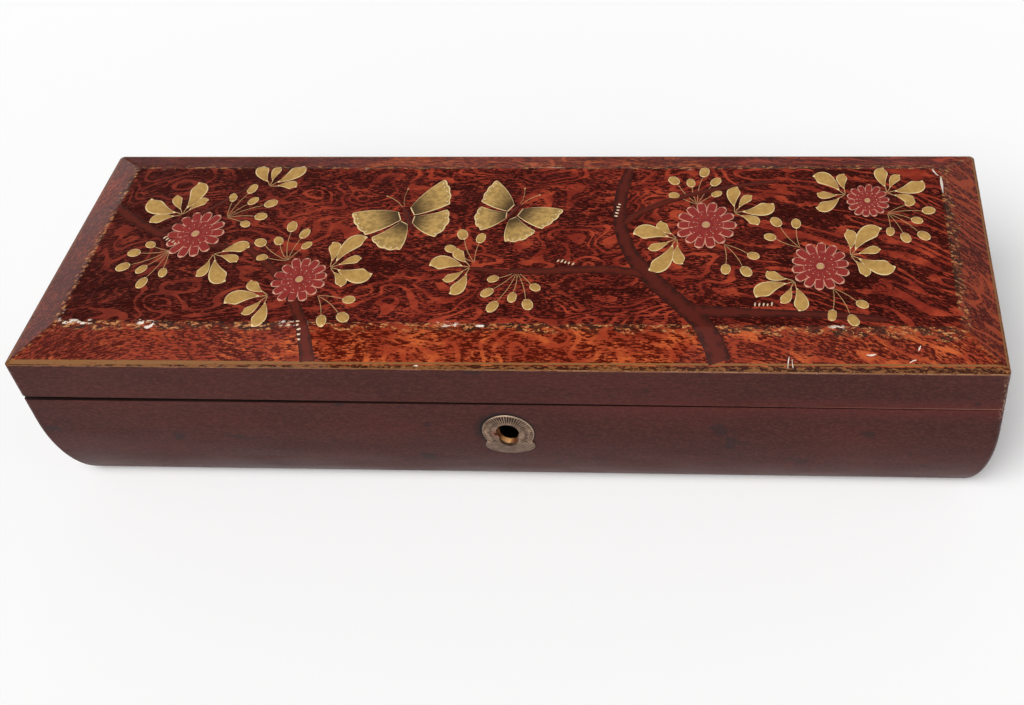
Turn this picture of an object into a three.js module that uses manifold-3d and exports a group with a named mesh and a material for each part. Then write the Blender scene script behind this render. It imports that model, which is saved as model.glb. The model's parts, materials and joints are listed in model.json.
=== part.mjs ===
// A long Japanese lacquer box with a hinged lid: a bombe base of four mitred walls on a bottom board,
// a lid of four mitred rails under a bevelled top board, two brass butt hinges in the back seam
// and a small brass box lock behind the front keyhole.
// Millimetres, +Z up. The origin is the middle of the underside, the front is towards -Y.
import * as THREE from "three";
import { mergeVertices } from "three/addons/utils/BufferGeometryUtils.js";
import Module from "manifold-3d";

const wasm = await Module();
wasm.setup();

// Overall sizes of the box
const LENGTH = 300;
const DEPTH = 100;
const BASE_HEIGHT = 42;
const LID_SIDE = 15.5;
const SEAM_GAP = 0.3;
const WALL = 8;

// The base's outer face is upright below the seam, then turns in on a quarter ellipse to the underside
const STRAIGHT = 10;
const CURVE_IN = 9;
const BOTTOM_THICKNESS = 4;
const WALL_CURVE_STEPS = 7;
const BOARD_CURVE_STEPS = 5;

// The lid's top board, a raised panel inside a wide bevel
const BOARD_EDGE = 4;
const BEVEL_WIDTH = 13.3;
const BEVEL_RISE = 5.7;

// Butt hinges. Both back edges are planed from the hinge line outwards, and the planed faces meet
// as the lid's stop when it is fully open.
const HINGE_FROM_END = 62;
const HINGE_LENGTH = 24;
const HINGE_AXIS_INSET = 1.8;
const OPENING_STOP_DEG = 100;
const BARREL_RADIUS = 1.5;
const HINGE_PIN_RADIUS = 0.7;
const HINGE_BORE_RADIUS = 0.85;
const LEAF_THICKNESS = 0.7;
const LEAF_EDGE_MARGIN = 0.7;
const KNUCKLE_GAP = 0.3;
const BARREL_CLEARANCE = 0.3;
const MORTISE_CLEARANCE = 0.2;

// Countersunk brass screws
const SCREW_HEAD_RADIUS = 1.05;
const SCREW_HEAD_DEPTH = 0.5;
const SCREW_SHANK_RADIUS = 0.5;
const SCREW_LENGTH = 5;
const SCREW_TIP = 0.8;
const SCREW_CLEARANCE = 0.15;
const HINGE_SCREW_SPACING = 16;

// Keyhole and escutcheon
const KEYHOLE_X = 0;
const KEYHOLE_BELOW_SEAM = 12.7;
const KEYHOLE_TOP_RADIUS = 3.6;
const KEYHOLE_FOOT_RADIUS = 3;
const KEYHOLE_TOP_UP = 0.7;
const KEYHOLE_FOOT_DOWN = 2.7;
const WOOD_HOLE_MARGIN = 0.4;
const ESCUTCHEON_THICKNESS = 0.7;
const ESCUTCHEON_RADIUS = 8.1;
const ESCUTCHEON_NOTCH_DOWN = 4.1;
const ESCUTCHEON_EAR_X = 8.2;
const ESCUTCHEON_EAR_DOWN = 6.2;
const ESCUTCHEON_FOOT_DOWN = 9.9;
const ESCUTCHEON_FOOT_FULLNESS = 6.1;
const PRONG_SIZE = 1;
const PRONG_LENGTH = 1.5;
const PRONG_SPREAD = 11;
const PRONG_CLEARANCE = 0.3;

// Box lock, let into the inside of the front wall
const LOCK_SKIN = 2.5;
const LOCK_HALF_WIDTH = 15;
const LOCK_HEIGHT = 21;
const LOCK_SHEET = 0.6;
const LOCK_CLEARANCE = 0.3;
const PLATE_THICKNESS = 0.8;
const PLATE_HALF_WIDTH = 18.6;
const PLATE_BELOW_LOCK = 1.5;
const FLANGE_THICKNESS = 0.7;
const FLANGE_FRONT_MARGIN = 1.5;
const PLATE_SCREW_X = 16.9;
const PLATE_SCREW_LENGTH = 4;

// The lid's strike, with two links that drop into the lock, and the bolt that slides through them
const STRIKE_HALF_WIDTH = 14;
const STRIKE_SCREW_X = 11.4;
const LINK_X = 7;
const LINK_THICKNESS = 1.2;
const LINK_LENGTH = 6.5;
const LINK_FRAME = 0.5;
const LINK_SWING_ROOM = 0.7;
const LINK_CLEARANCE = 0.4;
const LINK_WINDOW_TOP = 3.2;
const BOLT_THICKNESS = 1.2;
const BOLT_TRAVEL = 2.6;
const TONGUE_HEIGHT = 1.6;
const TONGUE_CLEARANCE = 0.3;
const TONGUE_LENGTH = 2.5;
const BOLT_ARM = 2;
const BOLT_BODY_TOP = 7.2;
const BOLT_BODY_HEIGHT = 4.6;
const BOLT_BODY_END = 2;
const TALON_HALF_WIDTH = 1.5;
const TALON_HEIGHT = 1.6;
const STUMP_RADIUS = 0.9;
const STUMP_X = 6;
const STUMP_CLEARANCE = 0.3;
const SPRING_THICKNESS = 0.4;
const SPRING_RADIUS = 11.9;
const SPRING_WIDTH = 1;
const SPRING_FROM_DEG = 75;
const SPRING_TO_DEG = 128;

// How finely round shapes are faceted, how far cutters reach past a face, and how far two shapes
// that are joined into one solid reach into each other
const BARREL_FACETS = 24;
const PIN_FACETS = 16;
const STUMP_FACETS = 16;
const SCREW_FACETS = 12;
const OUTLINE_SEGMENTS = 24;
const SPRING_SEGMENTS = 10;
const CUT_PAST = 1;
const JOIN_INTO = 0.1;
const MERGE_WITHIN = 1e-4;

const halfLength = LENGTH / 2;
const halfDepth = DEPTH / 2;
const hingeAxisY = halfDepth - HINGE_AXIS_INSET;
const lidBottom = BASE_HEIGHT + SEAM_GAP;
const seamMiddle = BASE_HEIGHT + SEAM_GAP / 2;
const railTop = lidBottom + LID_SIDE - BOARD_EDGE;
const frontInside = -halfDepth + WALL;

// Finishes
const finish = (color, roughness, metalness) =>
  new THREE.MeshStandardMaterial({ color, roughness, metalness });
const sideLacquer = finish(0x4c2a28, 0.42, 0);
const figuredLacquer = finish(0x8c3218, 0.3, 0);
const agedBrass = finish(0x8f7548, 0.45, 0.9);
const brass = finish(0xb08d4a, 0.35, 0.9);
const steel = finish(0x6f6a62, 0.5, 0.8);

// Solids and geometries
function solidOf(geometry) {
  const bare = new THREE.BufferGeometry();
  bare.setAttribute("position", geometry.getAttribute("position").clone());
  if (geometry.index) bare.setIndex(geometry.index.clone());
  const merged = mergeVertices(bare, MERGE_WITHIN);
  return new wasm.Manifold(
    new wasm.Mesh({
      numProp: 3,
      vertProperties: new Float32Array(merged.attributes.position.array),
      triVerts: new Uint32Array(merged.index.array),
    }),
  );
}

function geometryOf(solid) {
  const mesh = solid.getMesh();
  const geometry = new THREE.BufferGeometry();
  geometry.setAttribute("position", new THREE.BufferAttribute(mesh.vertProperties, 3));
  geometry.setIndex(new THREE.BufferAttribute(mesh.triVerts, 1));
  geometry.computeVertexNormals();
  return geometry;
}

// A block between two opposite corners
function block([x0, y0, z0], [x1, y1, z1]) {
  const geometry = new THREE.BoxGeometry(x1 - x0, y1 - y0, z1 - z0);
  geometry.translate((x0 + x1) / 2, (y0 + y1) / 2, (z0 + z1) / 2);
  return solidOf(geometry);
}

// A round bar along X, with its middle at the point
function barAlongX(radius, length, [x, y, z], facets = BARREL_FACETS) {
  const geometry = new THREE.CylinderGeometry(radius, radius, length, facets);
  geometry.rotateZ(Math.PI / 2);
  geometry.translate(x, y, z);
  return solidOf(geometry);
}

// A round bar along Y, from y0 to y1
function barAlongY(radius, x, z, y0, y1, facets) {
  const geometry = new THREE.CylinderGeometry(radius, radius, y1 - y0, facets);
  geometry.translate(x, (y0 + y1) / 2, z);
  return solidOf(geometry);
}

// A flat outline drawn in X and Z, as thick as from y0 to y1
function plateAcrossY(shape, y0, y1, curveSegments = OUTLINE_SEGMENTS) {
  const depth = y1 - y0;
  const geometry = new THREE.ExtrudeGeometry(shape, { depth, bevelEnabled: false, curveSegments });
  geometry.rotateX(Math.PI / 2);
  geometry.translate(0, y1, 0);
  return solidOf(geometry);
}

// The outline of a section as triangles that all turn the same way as the outline
function capTriangles(points) {
  const outline = points.map(([a, b]) => new THREE.Vector2(a, b));
  const turn = Math.sign(THREE.ShapeUtils.area(outline));
  return THREE.ShapeUtils.triangulateShape(outline, []).map(([a, b, c]) => {
    const area = THREE.ShapeUtils.area([outline[a], outline[b], outline[c]]);
    return Math.sign(area) === turn ? [a, b, c] : [a, c, b];
  });
}

// One side of a mitred frame: a section of [inset, height] points, drawn up the outer face and down the
// inner one, swept from one corner of the box to the next. Its ends lie on the corners' diagonals.
const SIDES = {
  front: [[-1, -1], [1, -1]],
  right: [[1, -1], [1, 1]],
  back: [[1, 1], [-1, 1]],
  left: [[-1, 1], [-1, -1]],
};

function mitredSide(side, section) {
  const count = section.length;
  const corner = ([signX, signY]) =>
    section.flatMap(([inset, z]) => [signX * (halfLength - inset), signY * (halfDepth - inset), z]);
  const [start, end] = SIDES[side];
  const positions = new Float32Array([...corner(start), ...corner(end)]);
  const triangles = [];
  for (let i = 0; i < count; i++) {
    const j = (i + 1) % count;
    triangles.push(i, count + i, count + j, i, count + j, j);
  }
  for (const [a, b, c] of capTriangles(section)) {
    triangles.push(a, b, c);
    triangles.push(count + a, count + c, count + b);
  }
  const geometry = new THREE.BufferGeometry();
  geometry.setAttribute("position", new THREE.BufferAttribute(positions, 3));
  geometry.setIndex(triangles);
  return solidOf(geometry);
}

// A board whose four edges share one outline: rectangles of [inset, height], stacked from the bottom up
function stackedBoard(levels) {
  const corners = [[-1, -1], [1, -1], [1, 1], [-1, 1]];
  const positions = levels.flatMap(([inset, z]) =>
    corners.flatMap(([signX, signY]) => [
      signX * (halfLength - inset),
      signY * (halfDepth - inset),
      z,
    ]),
  );
  const triangles = [0, 2, 1, 0, 3, 2];
  for (let level = 0; level + 1 < levels.length; level++) {
    for (let i = 0; i < 4; i++) {
      const a = level * 4 + i;
      const b = level * 4 + ((i + 1) % 4);
      triangles.push(a, b, b + 4, a, b + 4, a + 4);
    }
  }
  const top = (levels.length - 1) * 4;
  triangles.push(top, top + 1, top + 2, top, top + 2, top + 3);
  const geometry = new THREE.BufferGeometry();
  geometry.setAttribute("position", new THREE.BufferAttribute(new Float32Array(positions), 3));
  geometry.setIndex(triangles);
  return solidOf(geometry);
}

// The part's group, and one named mesh for each solid
const lacquerBox = new THREE.Group();

function addPiece(name, solid, material) {
  const mesh = new THREE.Mesh(geometryOf(solid), material);
  mesh.name = name;
  lacquerBox.add(mesh);
}

// The base's curved outer face
const curveDrop = BASE_HEIGHT - STRAIGHT;
const joinAngle = Math.asin(1 - BOTTOM_THICKNESS / curveDrop);

function curvePoint(angle) {
  return [CURVE_IN * (1 - Math.cos(angle)), curveDrop * (1 - Math.sin(angle))];
}

function curvePoints(fromAngle, toAngle, steps) {
  const points = [];
  for (let i = 0; i <= steps; i++) {
    points.push(curvePoint(fromAngle + ((toAngle - fromAngle) * i) / steps));
  }
  return points;
}

const wallOuterFace = curvePoints(joinAngle, 0, WALL_CURVE_STEPS);
wallOuterFace[0][1] = BOTTOM_THICKNESS;
const baseWallSection = [
  ...wallOuterFace, [0, BASE_HEIGHT], [WALL, BASE_HEIGHT], [WALL, BOTTOM_THICKNESS],
];
const lidRailSection = [[0, lidBottom], [0, railTop], [WALL, railTop], [WALL, lidBottom]];

// What is planed off the back edges, above and below the seam, from the hinge line outwards.
// It runs from end to end, so it takes the corners of the side pieces too.
function planedEdges() {
  const reach = HINGE_AXIS_INSET + CUT_PAST;
  const rise = reach * Math.tan(THREE.MathUtils.degToRad(OPENING_STOP_DEG / 2));
  const shape = new THREE.Shape([
    new THREE.Vector2(0, 0),
    new THREE.Vector2(reach, -rise),
    new THREE.Vector2(reach, rise),
  ]);
  const depth = LENGTH + 2 * CUT_PAST;
  const geometry = new THREE.ExtrudeGeometry(shape, { depth, bevelEnabled: false });
  geometry.rotateY(Math.PI / 2);
  geometry.rotateX(Math.PI / 2);
  geometry.translate(-depth / 2, hingeAxisY, seamMiddle);
  return solidOf(geometry);
}

// Screws are turned on their axis, head at the top, along Z
function screwProfile(length, grow) {
  const tip = length - SCREW_TIP;
  const points = [
    [0, -length - grow],
    [SCREW_SHANK_RADIUS + grow, -tip],
    [SCREW_SHANK_RADIUS + grow, -SCREW_HEAD_DEPTH],
    [SCREW_HEAD_RADIUS + grow, 0],
  ];
  if (grow) points.push([SCREW_HEAD_RADIUS + grow, CUT_PAST]);
  points.push([0, grow ? CUT_PAST : 0]);
  return points.map(([radius, z]) => new THREE.Vector2(radius, z));
}

// A screw whose head's face is at the point: it is driven down, up or towards the front.
// With grow, it is the cutter for the screw's hole.
function screwAt([x, y, z], driven, length = SCREW_LENGTH, grow = 0) {
  const geometry = new THREE.LatheGeometry(screwProfile(length, grow), SCREW_FACETS);
  const turns = { down: Math.PI / 2, up: -Math.PI / 2, front: Math.PI };
  geometry.rotateX(turns[driven]);
  geometry.translate(x, y, z);
  return solidOf(geometry);
}

function screwHoleAt(point, driven, length = SCREW_LENGTH) {
  return screwAt(point, driven, length, SCREW_CLEARANCE);
}

// Hinges
const leafWidth = WALL - HINGE_AXIS_INSET - LEAF_EDGE_MARGIN;
const leafFrontY = hingeAxisY - leafWidth;
const hingeScrewY = hingeAxisY - (leafWidth + BARREL_RADIUS) / 2;
const knuckleLength = (HINGE_LENGTH - 2 * KNUCKLE_GAP) / 3;
const hinges = [
  { name: "left_hinge", x: -(halfLength - HINGE_FROM_END) },
  { name: "right_hinge", x: halfLength - HINGE_FROM_END },
];

function hingeScrewPoints(hingeX, z) {
  return [-1, 1].map((sign) => [hingeX + (sign * HINGE_SCREW_SPACING) / 2, hingeScrewY, z]);
}

// A leaf with its knuckles: the base's leaf has the two outer knuckles, the lid's leaf the middle one
function hingeLeaf(x, isBase) {
  const z0 = isBase ? BASE_HEIGHT - LEAF_THICKNESS : lidBottom;
  const outerMiddle = knuckleLength + KNUCKLE_GAP;
  const own = isBase ? [-outerMiddle, outerMiddle] : [0];
  const other = isBase ? [0] : [-outerMiddle, outerMiddle];
  let leaf = block(
    [x - HINGE_LENGTH / 2, leafFrontY, z0],
    [x + HINGE_LENGTH / 2, hingeAxisY, z0 + LEAF_THICKNESS],
  );
  for (const along of other) {
    const span = knuckleLength + 2 * KNUCKLE_GAP;
    const room = BARREL_RADIUS + BARREL_CLEARANCE;
    leaf = leaf.subtract(barAlongX(room, span, [x + along, hingeAxisY, seamMiddle]));
  }
  for (const along of own) {
    leaf = leaf.add(barAlongX(BARREL_RADIUS, knuckleLength, [x + along, hingeAxisY, seamMiddle]));
  }
  leaf = leaf.subtract(
    barAlongX(HINGE_BORE_RADIUS, HINGE_LENGTH + CUT_PAST, [x, hingeAxisY, seamMiddle], PIN_FACETS),
  );
  const face = isBase ? BASE_HEIGHT : lidBottom;
  for (const point of hingeScrewPoints(x, face)) {
    leaf = leaf.subtract(screwHoleAt(point, isBase ? "down" : "up"));
  }
  return leaf;
}

// What a hinge takes out of the wall or rail it is let into
function hingeMortise(x, isBase) {
  const half = HINGE_LENGTH / 2 + MORTISE_CLEARANCE;
  const z0 = isBase ? BASE_HEIGHT - LEAF_THICKNESS : lidBottom - CUT_PAST;
  const z1 = isBase ? BASE_HEIGHT + CUT_PAST : lidBottom + LEAF_THICKNESS;
  const leafRoom = block([x - half, leafFrontY - MORTISE_CLEARANCE, z0], [x + half, hingeAxisY, z1]);
  const room = BARREL_RADIUS + BARREL_CLEARANCE;
  let mortise = leafRoom.add(barAlongX(room, 2 * half, [x, hingeAxisY, seamMiddle]));
  for (const point of hingeScrewPoints(x, isBase ? BASE_HEIGHT : lidBottom)) {
    mortise = mortise.add(screwHoleAt(point, isBase ? "down" : "up"));
  }
  return mortise;
}

// Keyhole: a round head over a round foot
const keyholeZ = BASE_HEIGHT - KEYHOLE_BELOW_SEAM;

function keyholeShape(margin) {
  const topRadius = KEYHOLE_TOP_RADIUS + margin;
  const footRadius = KEYHOLE_FOOT_RADIUS + margin;
  const topZ = keyholeZ + KEYHOLE_TOP_UP;
  const footZ = keyholeZ - KEYHOLE_FOOT_DOWN;
  const apart = topZ - footZ;
  const crossingUp = (apart ** 2 + footRadius ** 2 - topRadius ** 2) / (2 * apart);
  const crossingX = Math.sqrt(footRadius ** 2 - crossingUp ** 2);
  const topAngle = Math.atan2(crossingUp - apart, crossingX);
  const footAngle = Math.atan2(crossingUp, crossingX);
  const shape = new THREE.Shape();
  shape.absarc(KEYHOLE_X, topZ, topRadius, topAngle, Math.PI - topAngle, false);
  shape.absarc(KEYHOLE_X, footZ, footRadius, Math.PI - footAngle, 2 * Math.PI + footAngle, false);
  return shape;
}

// Escutcheon: a disc on a crescent foot with an ear at each side, and two prongs behind it.
// The foot is one cubic curve, which goes three quarters of the way down to its two pulls.
function escutcheonShape() {
  const notchAngle = Math.asin(ESCUTCHEON_NOTCH_DOWN / ESCUTCHEON_RADIUS);
  const shape = new THREE.Shape();
  shape.absarc(KEYHOLE_X, keyholeZ, ESCUTCHEON_RADIUS, -notchAngle, Math.PI + notchAngle, false);
  const earZ = keyholeZ - ESCUTCHEON_EAR_DOWN;
  const pullZ = earZ - ((ESCUTCHEON_FOOT_DOWN - ESCUTCHEON_EAR_DOWN) * 4) / 3;
  shape.lineTo(KEYHOLE_X - ESCUTCHEON_EAR_X, earZ);
  shape.bezierCurveTo(
    KEYHOLE_X - ESCUTCHEON_FOOT_FULLNESS, pullZ,
    KEYHOLE_X + ESCUTCHEON_FOOT_FULLNESS, pullZ,
    KEYHOLE_X + ESCUTCHEON_EAR_X, earZ,
  );
  return shape;
}

const prongXs = [-1, 1].map((sign) => KEYHOLE_X + (sign * PRONG_SPREAD) / 2);

function prongBlock(x, grow) {
  const half = PRONG_SIZE / 2 + grow;
  return block(
    [x - half, -halfDepth - JOIN_INTO, keyholeZ - half],
    [x + half, -halfDepth + PRONG_LENGTH + grow, keyholeZ + half],
  );
}

function escutcheon() {
  let plate = plateAcrossY(escutcheonShape(), -halfDepth - ESCUTCHEON_THICKNESS, -halfDepth);
  for (const x of prongXs) {
    plate = plate.add(prongBlock(x, 0));
  }
  const hole = plateAcrossY(
    keyholeShape(0), -halfDepth - ESCUTCHEON_THICKNESS - CUT_PAST, -halfDepth + CUT_PAST,
  );
  return plate.subtract(hole);
}

// Lock: its cap is let into the wall from the inside, behind an angled plate that covers the inside face
// and folds over the wall's top edge as a flange
const pocketFrontY = -halfDepth + LOCK_SKIN;
const capFrontY = pocketFrontY + LOCK_CLEARANCE;
const capRoomFrontY = capFrontY + LOCK_SHEET;
const boltMiddleY = (capRoomFrontY + frontInside) / 2;
const linkHalfDepth = BOLT_THICKNESS / 2 + TONGUE_CLEARANCE + LINK_FRAME;
const lockBottom = BASE_HEIGHT - LOCK_HEIGHT;
const flangeBottom = BASE_HEIGHT - FLANGE_THICKNESS;
const flangeFrontY = -halfDepth + FLANGE_FRONT_MARGIN;
const flangeScrewY = (flangeFrontY + frontInside) / 2;
const linkXs = [KEYHOLE_X - LINK_X, KEYHOLE_X + LINK_X];
const boltBodyTop = BASE_HEIGHT - BOLT_BODY_TOP;
const boltBodyBottom = boltBodyTop - BOLT_BODY_HEIGHT;
const stumpZ = boltBodyTop - BOLT_BODY_HEIGHT / 2;
const stumpXs = [KEYHOLE_X - STUMP_X, KEYHOLE_X + STUMP_X];
const windowTop = lidBottom - LINK_WINDOW_TOP;
const tongueTop = windowTop - TONGUE_CLEARANCE;
const tongueBottom = tongueTop - TONGUE_HEIGHT;
const plateScrews = [
  { point: [KEYHOLE_X - PLATE_SCREW_X, flangeScrewY, BASE_HEIGHT], driven: "down" },
  { point: [KEYHOLE_X + PLATE_SCREW_X, flangeScrewY, BASE_HEIGHT], driven: "down" },
  { point: [KEYHOLE_X - PLATE_SCREW_X, frontInside + PLATE_THICKNESS, keyholeZ], driven: "front" },
  { point: [KEYHOLE_X + PLATE_SCREW_X, frontInside + PLATE_THICKNESS, keyholeZ], driven: "front" },
];

function lockPocket() {
  const half = LOCK_HALF_WIDTH + LOCK_CLEARANCE;
  const capRoom = block(
    [KEYHOLE_X - half, pocketFrontY, lockBottom - LOCK_CLEARANCE],
    [KEYHOLE_X + half, frontInside + CUT_PAST, BASE_HEIGHT + CUT_PAST],
  );
  const flangeHalf = PLATE_HALF_WIDTH + MORTISE_CLEARANCE;
  const flangeRoom = block(
    [KEYHOLE_X - flangeHalf, flangeFrontY - MORTISE_CLEARANCE, flangeBottom],
    [KEYHOLE_X + flangeHalf, frontInside + CUT_PAST, BASE_HEIGHT + CUT_PAST],
  );
  const keyRoom = plateAcrossY(
    keyholeShape(WOOD_HOLE_MARGIN), -halfDepth - CUT_PAST, pocketFrontY + CUT_PAST,
  );
  let pocket = capRoom.add(flangeRoom).add(keyRoom);
  for (const x of prongXs) {
    pocket = pocket.add(prongBlock(x, PRONG_CLEARANCE));
  }
  for (const { point, driven } of plateScrews) {
    pocket = pocket.add(screwHoleAt(point, driven, PLATE_SCREW_LENGTH));
  }
  return pocket;
}

function lockPlate() {
  const x0 = KEYHOLE_X - PLATE_HALF_WIDTH;
  const x1 = KEYHOLE_X + PLATE_HALF_WIDTH;
  const insideFace = block(
    [x0, frontInside, lockBottom - PLATE_BELOW_LOCK],
    [x1, frontInside + PLATE_THICKNESS, BASE_HEIGHT],
  );
  const flange = block(
    [x0, flangeFrontY, flangeBottom],
    [x1, frontInside + PLATE_THICKNESS, BASE_HEIGHT],
  );
  let plate = insideFace.add(flange);
  const stumpFrontY = capRoomFrontY + LOCK_CLEARANCE;
  const stumpBackY = frontInside + JOIN_INTO;
  for (const x of stumpXs) {
    plate = plate.add(barAlongY(STUMP_RADIUS, x, stumpZ, stumpFrontY, stumpBackY, STUMP_FACETS));
  }
  for (const x of linkXs) {
    const half = LINK_THICKNESS / 2 + LINK_CLEARANCE;
    plate = plate.subtract(
      block(
        [x - half, boltMiddleY - linkHalfDepth - LINK_SWING_ROOM, flangeBottom - CUT_PAST],
        [x + half, boltMiddleY + linkHalfDepth + LINK_CLEARANCE, BASE_HEIGHT + CUT_PAST],
      ),
    );
  }
  for (const { point, driven } of plateScrews) {
    plate = plate.subtract(screwHoleAt(point, driven, PLATE_SCREW_LENGTH));
  }
  return plate;
}

function lockCap() {
  const tray = block(
    [KEYHOLE_X - LOCK_HALF_WIDTH, capFrontY, lockBottom],
    [KEYHOLE_X + LOCK_HALF_WIDTH, frontInside, flangeBottom],
  );
  const half = LOCK_HALF_WIDTH - LOCK_SHEET;
  const room = block(
    [KEYHOLE_X - half, capRoomFrontY, lockBottom + LOCK_SHEET],
    [KEYHOLE_X + half, frontInside + CUT_PAST, flangeBottom + CUT_PAST],
  );
  const keyhole = plateAcrossY(keyholeShape(0), capFrontY - CUT_PAST, capRoomFrontY + CUT_PAST);
  return tray.subtract(room).subtract(keyhole);
}

// The bolt: a bar on two stumps, with an arm and a tongue behind each link and a talon for the key
function lockBolt() {
  const y0 = boltMiddleY - BOLT_THICKNESS / 2;
  const y1 = boltMiddleY + BOLT_THICKNESS / 2;
  const linkBack = LINK_THICKNESS / 2 + LINK_CLEARANCE + TONGUE_LENGTH;
  const armXs = linkXs.map((x) => x - linkBack - BOLT_ARM);
  let bolt = block(
    [armXs[0], y0, boltBodyBottom],
    [linkXs[1] + BOLT_BODY_END, y1, boltBodyTop],
  );
  for (const x of armXs) {
    const armEnd = x + BOLT_ARM;
    const arm = block([x, y0, boltBodyTop - JOIN_INTO], [armEnd, y1, tongueTop]);
    const tongue = block([armEnd - JOIN_INTO, y0, tongueBottom], [armEnd + TONGUE_LENGTH, y1, tongueTop]);
    bolt = bolt.add(arm).add(tongue);
  }
  const slotRoom = STUMP_RADIUS + STUMP_CLEARANCE;
  for (const x of stumpXs) {
    bolt = bolt.subtract(
      block(
        [x - BOLT_TRAVEL - slotRoom, y0 - CUT_PAST, stumpZ - slotRoom],
        [x + slotRoom, y1 + CUT_PAST, stumpZ + slotRoom],
      ),
    );
  }
  return bolt.subtract(
    block(
      [KEYHOLE_X - TALON_HALF_WIDTH, y0 - CUT_PAST, boltBodyBottom - CUT_PAST],
      [KEYHOLE_X + TALON_HALF_WIDTH, y1 + CUT_PAST, boltBodyBottom + TALON_HEIGHT],
    ),
  );
}

// A bowed leaf spring under the bolt's left half
function boltSpring() {
  const from = THREE.MathUtils.degToRad(SPRING_FROM_DEG);
  const to = THREE.MathUtils.degToRad(SPRING_TO_DEG);
  const x = stumpXs[0] - STUMP_RADIUS;
  const z = boltBodyBottom - STUMP_CLEARANCE - SPRING_RADIUS;
  const shape = new THREE.Shape();
  shape.absarc(x, z, SPRING_RADIUS, from, to, false);
  shape.absarc(x, z, SPRING_RADIUS - SPRING_THICKNESS, to, from, true);
  const half = SPRING_WIDTH / 2;
  return plateAcrossY(shape, boltMiddleY - half, boltMiddleY + half, SPRING_SEGMENTS);
}

const strikeScrewPoints = [-1, 1].map((sign) => [
  KEYHOLE_X + sign * STRIKE_SCREW_X, flangeScrewY, lidBottom,
]);

function strikeMortise() {
  const half = STRIKE_HALF_WIDTH + MORTISE_CLEARANCE;
  let mortise = block(
    [KEYHOLE_X - half, flangeFrontY - MORTISE_CLEARANCE, lidBottom - CUT_PAST],
    [KEYHOLE_X + half, frontInside + CUT_PAST, lidBottom + FLANGE_THICKNESS],
  );
  for (const point of strikeScrewPoints) {
    mortise = mortise.add(screwHoleAt(point, "up"));
  }
  return mortise;
}

function strikePlate() {
  let plate = block(
    [KEYHOLE_X - STRIKE_HALF_WIDTH, flangeFrontY, lidBottom],
    [KEYHOLE_X + STRIKE_HALF_WIDTH, frontInside, lidBottom + FLANGE_THICKNESS],
  );
  for (const x of linkXs) {
    const link = block(
      [x - LINK_THICKNESS / 2, boltMiddleY - linkHalfDepth, lidBottom - LINK_LENGTH],
      [x + LINK_THICKNESS / 2, boltMiddleY + linkHalfDepth, lidBottom + JOIN_INTO],
    );
    const windowHalf = BOLT_THICKNESS / 2 + TONGUE_CLEARANCE;
    const window = block(
      [x - LINK_THICKNESS, boltMiddleY - windowHalf, tongueBottom - TONGUE_CLEARANCE],
      [x + LINK_THICKNESS, boltMiddleY + windowHalf, windowTop],
    );
    plate = plate.add(link.subtract(window));
  }
  for (const point of strikeScrewPoints) {
    plate = plate.subtract(screwHoleAt(point, "up"));
  }
  return plate;
}

// Base
const planed = planedEdges();
const frontWall = mitredSide("front", baseWallSection).subtract(lockPocket());
addPiece("base_front_wall", frontWall, sideLacquer);
let backWall = mitredSide("back", baseWallSection).subtract(planed);
for (const { x } of hinges) {
  backWall = backWall.subtract(hingeMortise(x, true));
}
addPiece("base_back_wall", backWall, sideLacquer);
for (const side of ["left", "right"]) {
  addPiece(`base_${side}_wall`, mitredSide(side, baseWallSection).subtract(planed), sideLacquer);
}
const boardLevels = curvePoints(Math.PI / 2, joinAngle, BOARD_CURVE_STEPS);
boardLevels[BOARD_CURVE_STEPS][1] = BOTTOM_THICKNESS;
addPiece("base_bottom_board", stackedBoard(boardLevels), sideLacquer);

// Lid
const frontRail = mitredSide("front", lidRailSection).subtract(strikeMortise());
addPiece("lid_front_rail", frontRail, sideLacquer);
let backRail = mitredSide("back", lidRailSection).subtract(planed);
for (const { x } of hinges) {
  backRail = backRail.subtract(hingeMortise(x, false));
}
addPiece("lid_back_rail", backRail, sideLacquer);
for (const side of ["left", "right"]) {
  addPiece(`lid_${side}_rail`, mitredSide(side, lidRailSection).subtract(planed), sideLacquer);
}
const lidTop = railTop + BOARD_EDGE;
const lidBoard = stackedBoard([[0, railTop], [0, lidTop], [BEVEL_WIDTH, lidTop + BEVEL_RISE]]);
addPiece("lid_top_board", lidBoard, figuredLacquer);

// Hinges
for (const { name, x } of hinges) {
  addPiece(`${name}_base_leaf`, hingeLeaf(x, true), brass);
  addPiece(`${name}_lid_leaf`, hingeLeaf(x, false), brass);
  const pin = barAlongX(HINGE_PIN_RADIUS, HINGE_LENGTH, [x, hingeAxisY, seamMiddle], PIN_FACETS);
  addPiece(`${name}_pin`, pin, steel);
  hingeScrewPoints(x, BASE_HEIGHT).forEach((point, i) => {
    addPiece(`${name}_base_screw_${i + 1}`, screwAt(point, "down"), brass);
  });
  hingeScrewPoints(x, lidBottom).forEach((point, i) => {
    addPiece(`${name}_lid_screw_${i + 1}`, screwAt(point, "up"), brass);
  });
}

// Lock
addPiece("escutcheon", escutcheon(), agedBrass);
addPiece("lock_plate", lockPlate(), brass);
addPiece("lock_cap", lockCap(), brass);
addPiece("lock_bolt", lockBolt(), brass);
addPiece("bolt_spring", boltSpring(), steel);
plateScrews.forEach(({ point, driven }, i) => {
  addPiece(`lock_plate_screw_${i + 1}`, screwAt(point, driven, PLATE_SCREW_LENGTH), brass);
});
addPiece("strike_plate", strikePlate(), brass);
strikeScrewPoints.forEach((point, i) => {
  addPiece(`strike_screw_${i + 1}`, screwAt(point, "up"), brass);
});

export default lacquerBox;
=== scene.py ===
# A long Japanese lacquer box with a hinged lid, finished around its packed construction model.
# Metres, +Z up, the front towards -Y. Material patterns are worked out in millimetres.
import json
import math
import random

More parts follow.
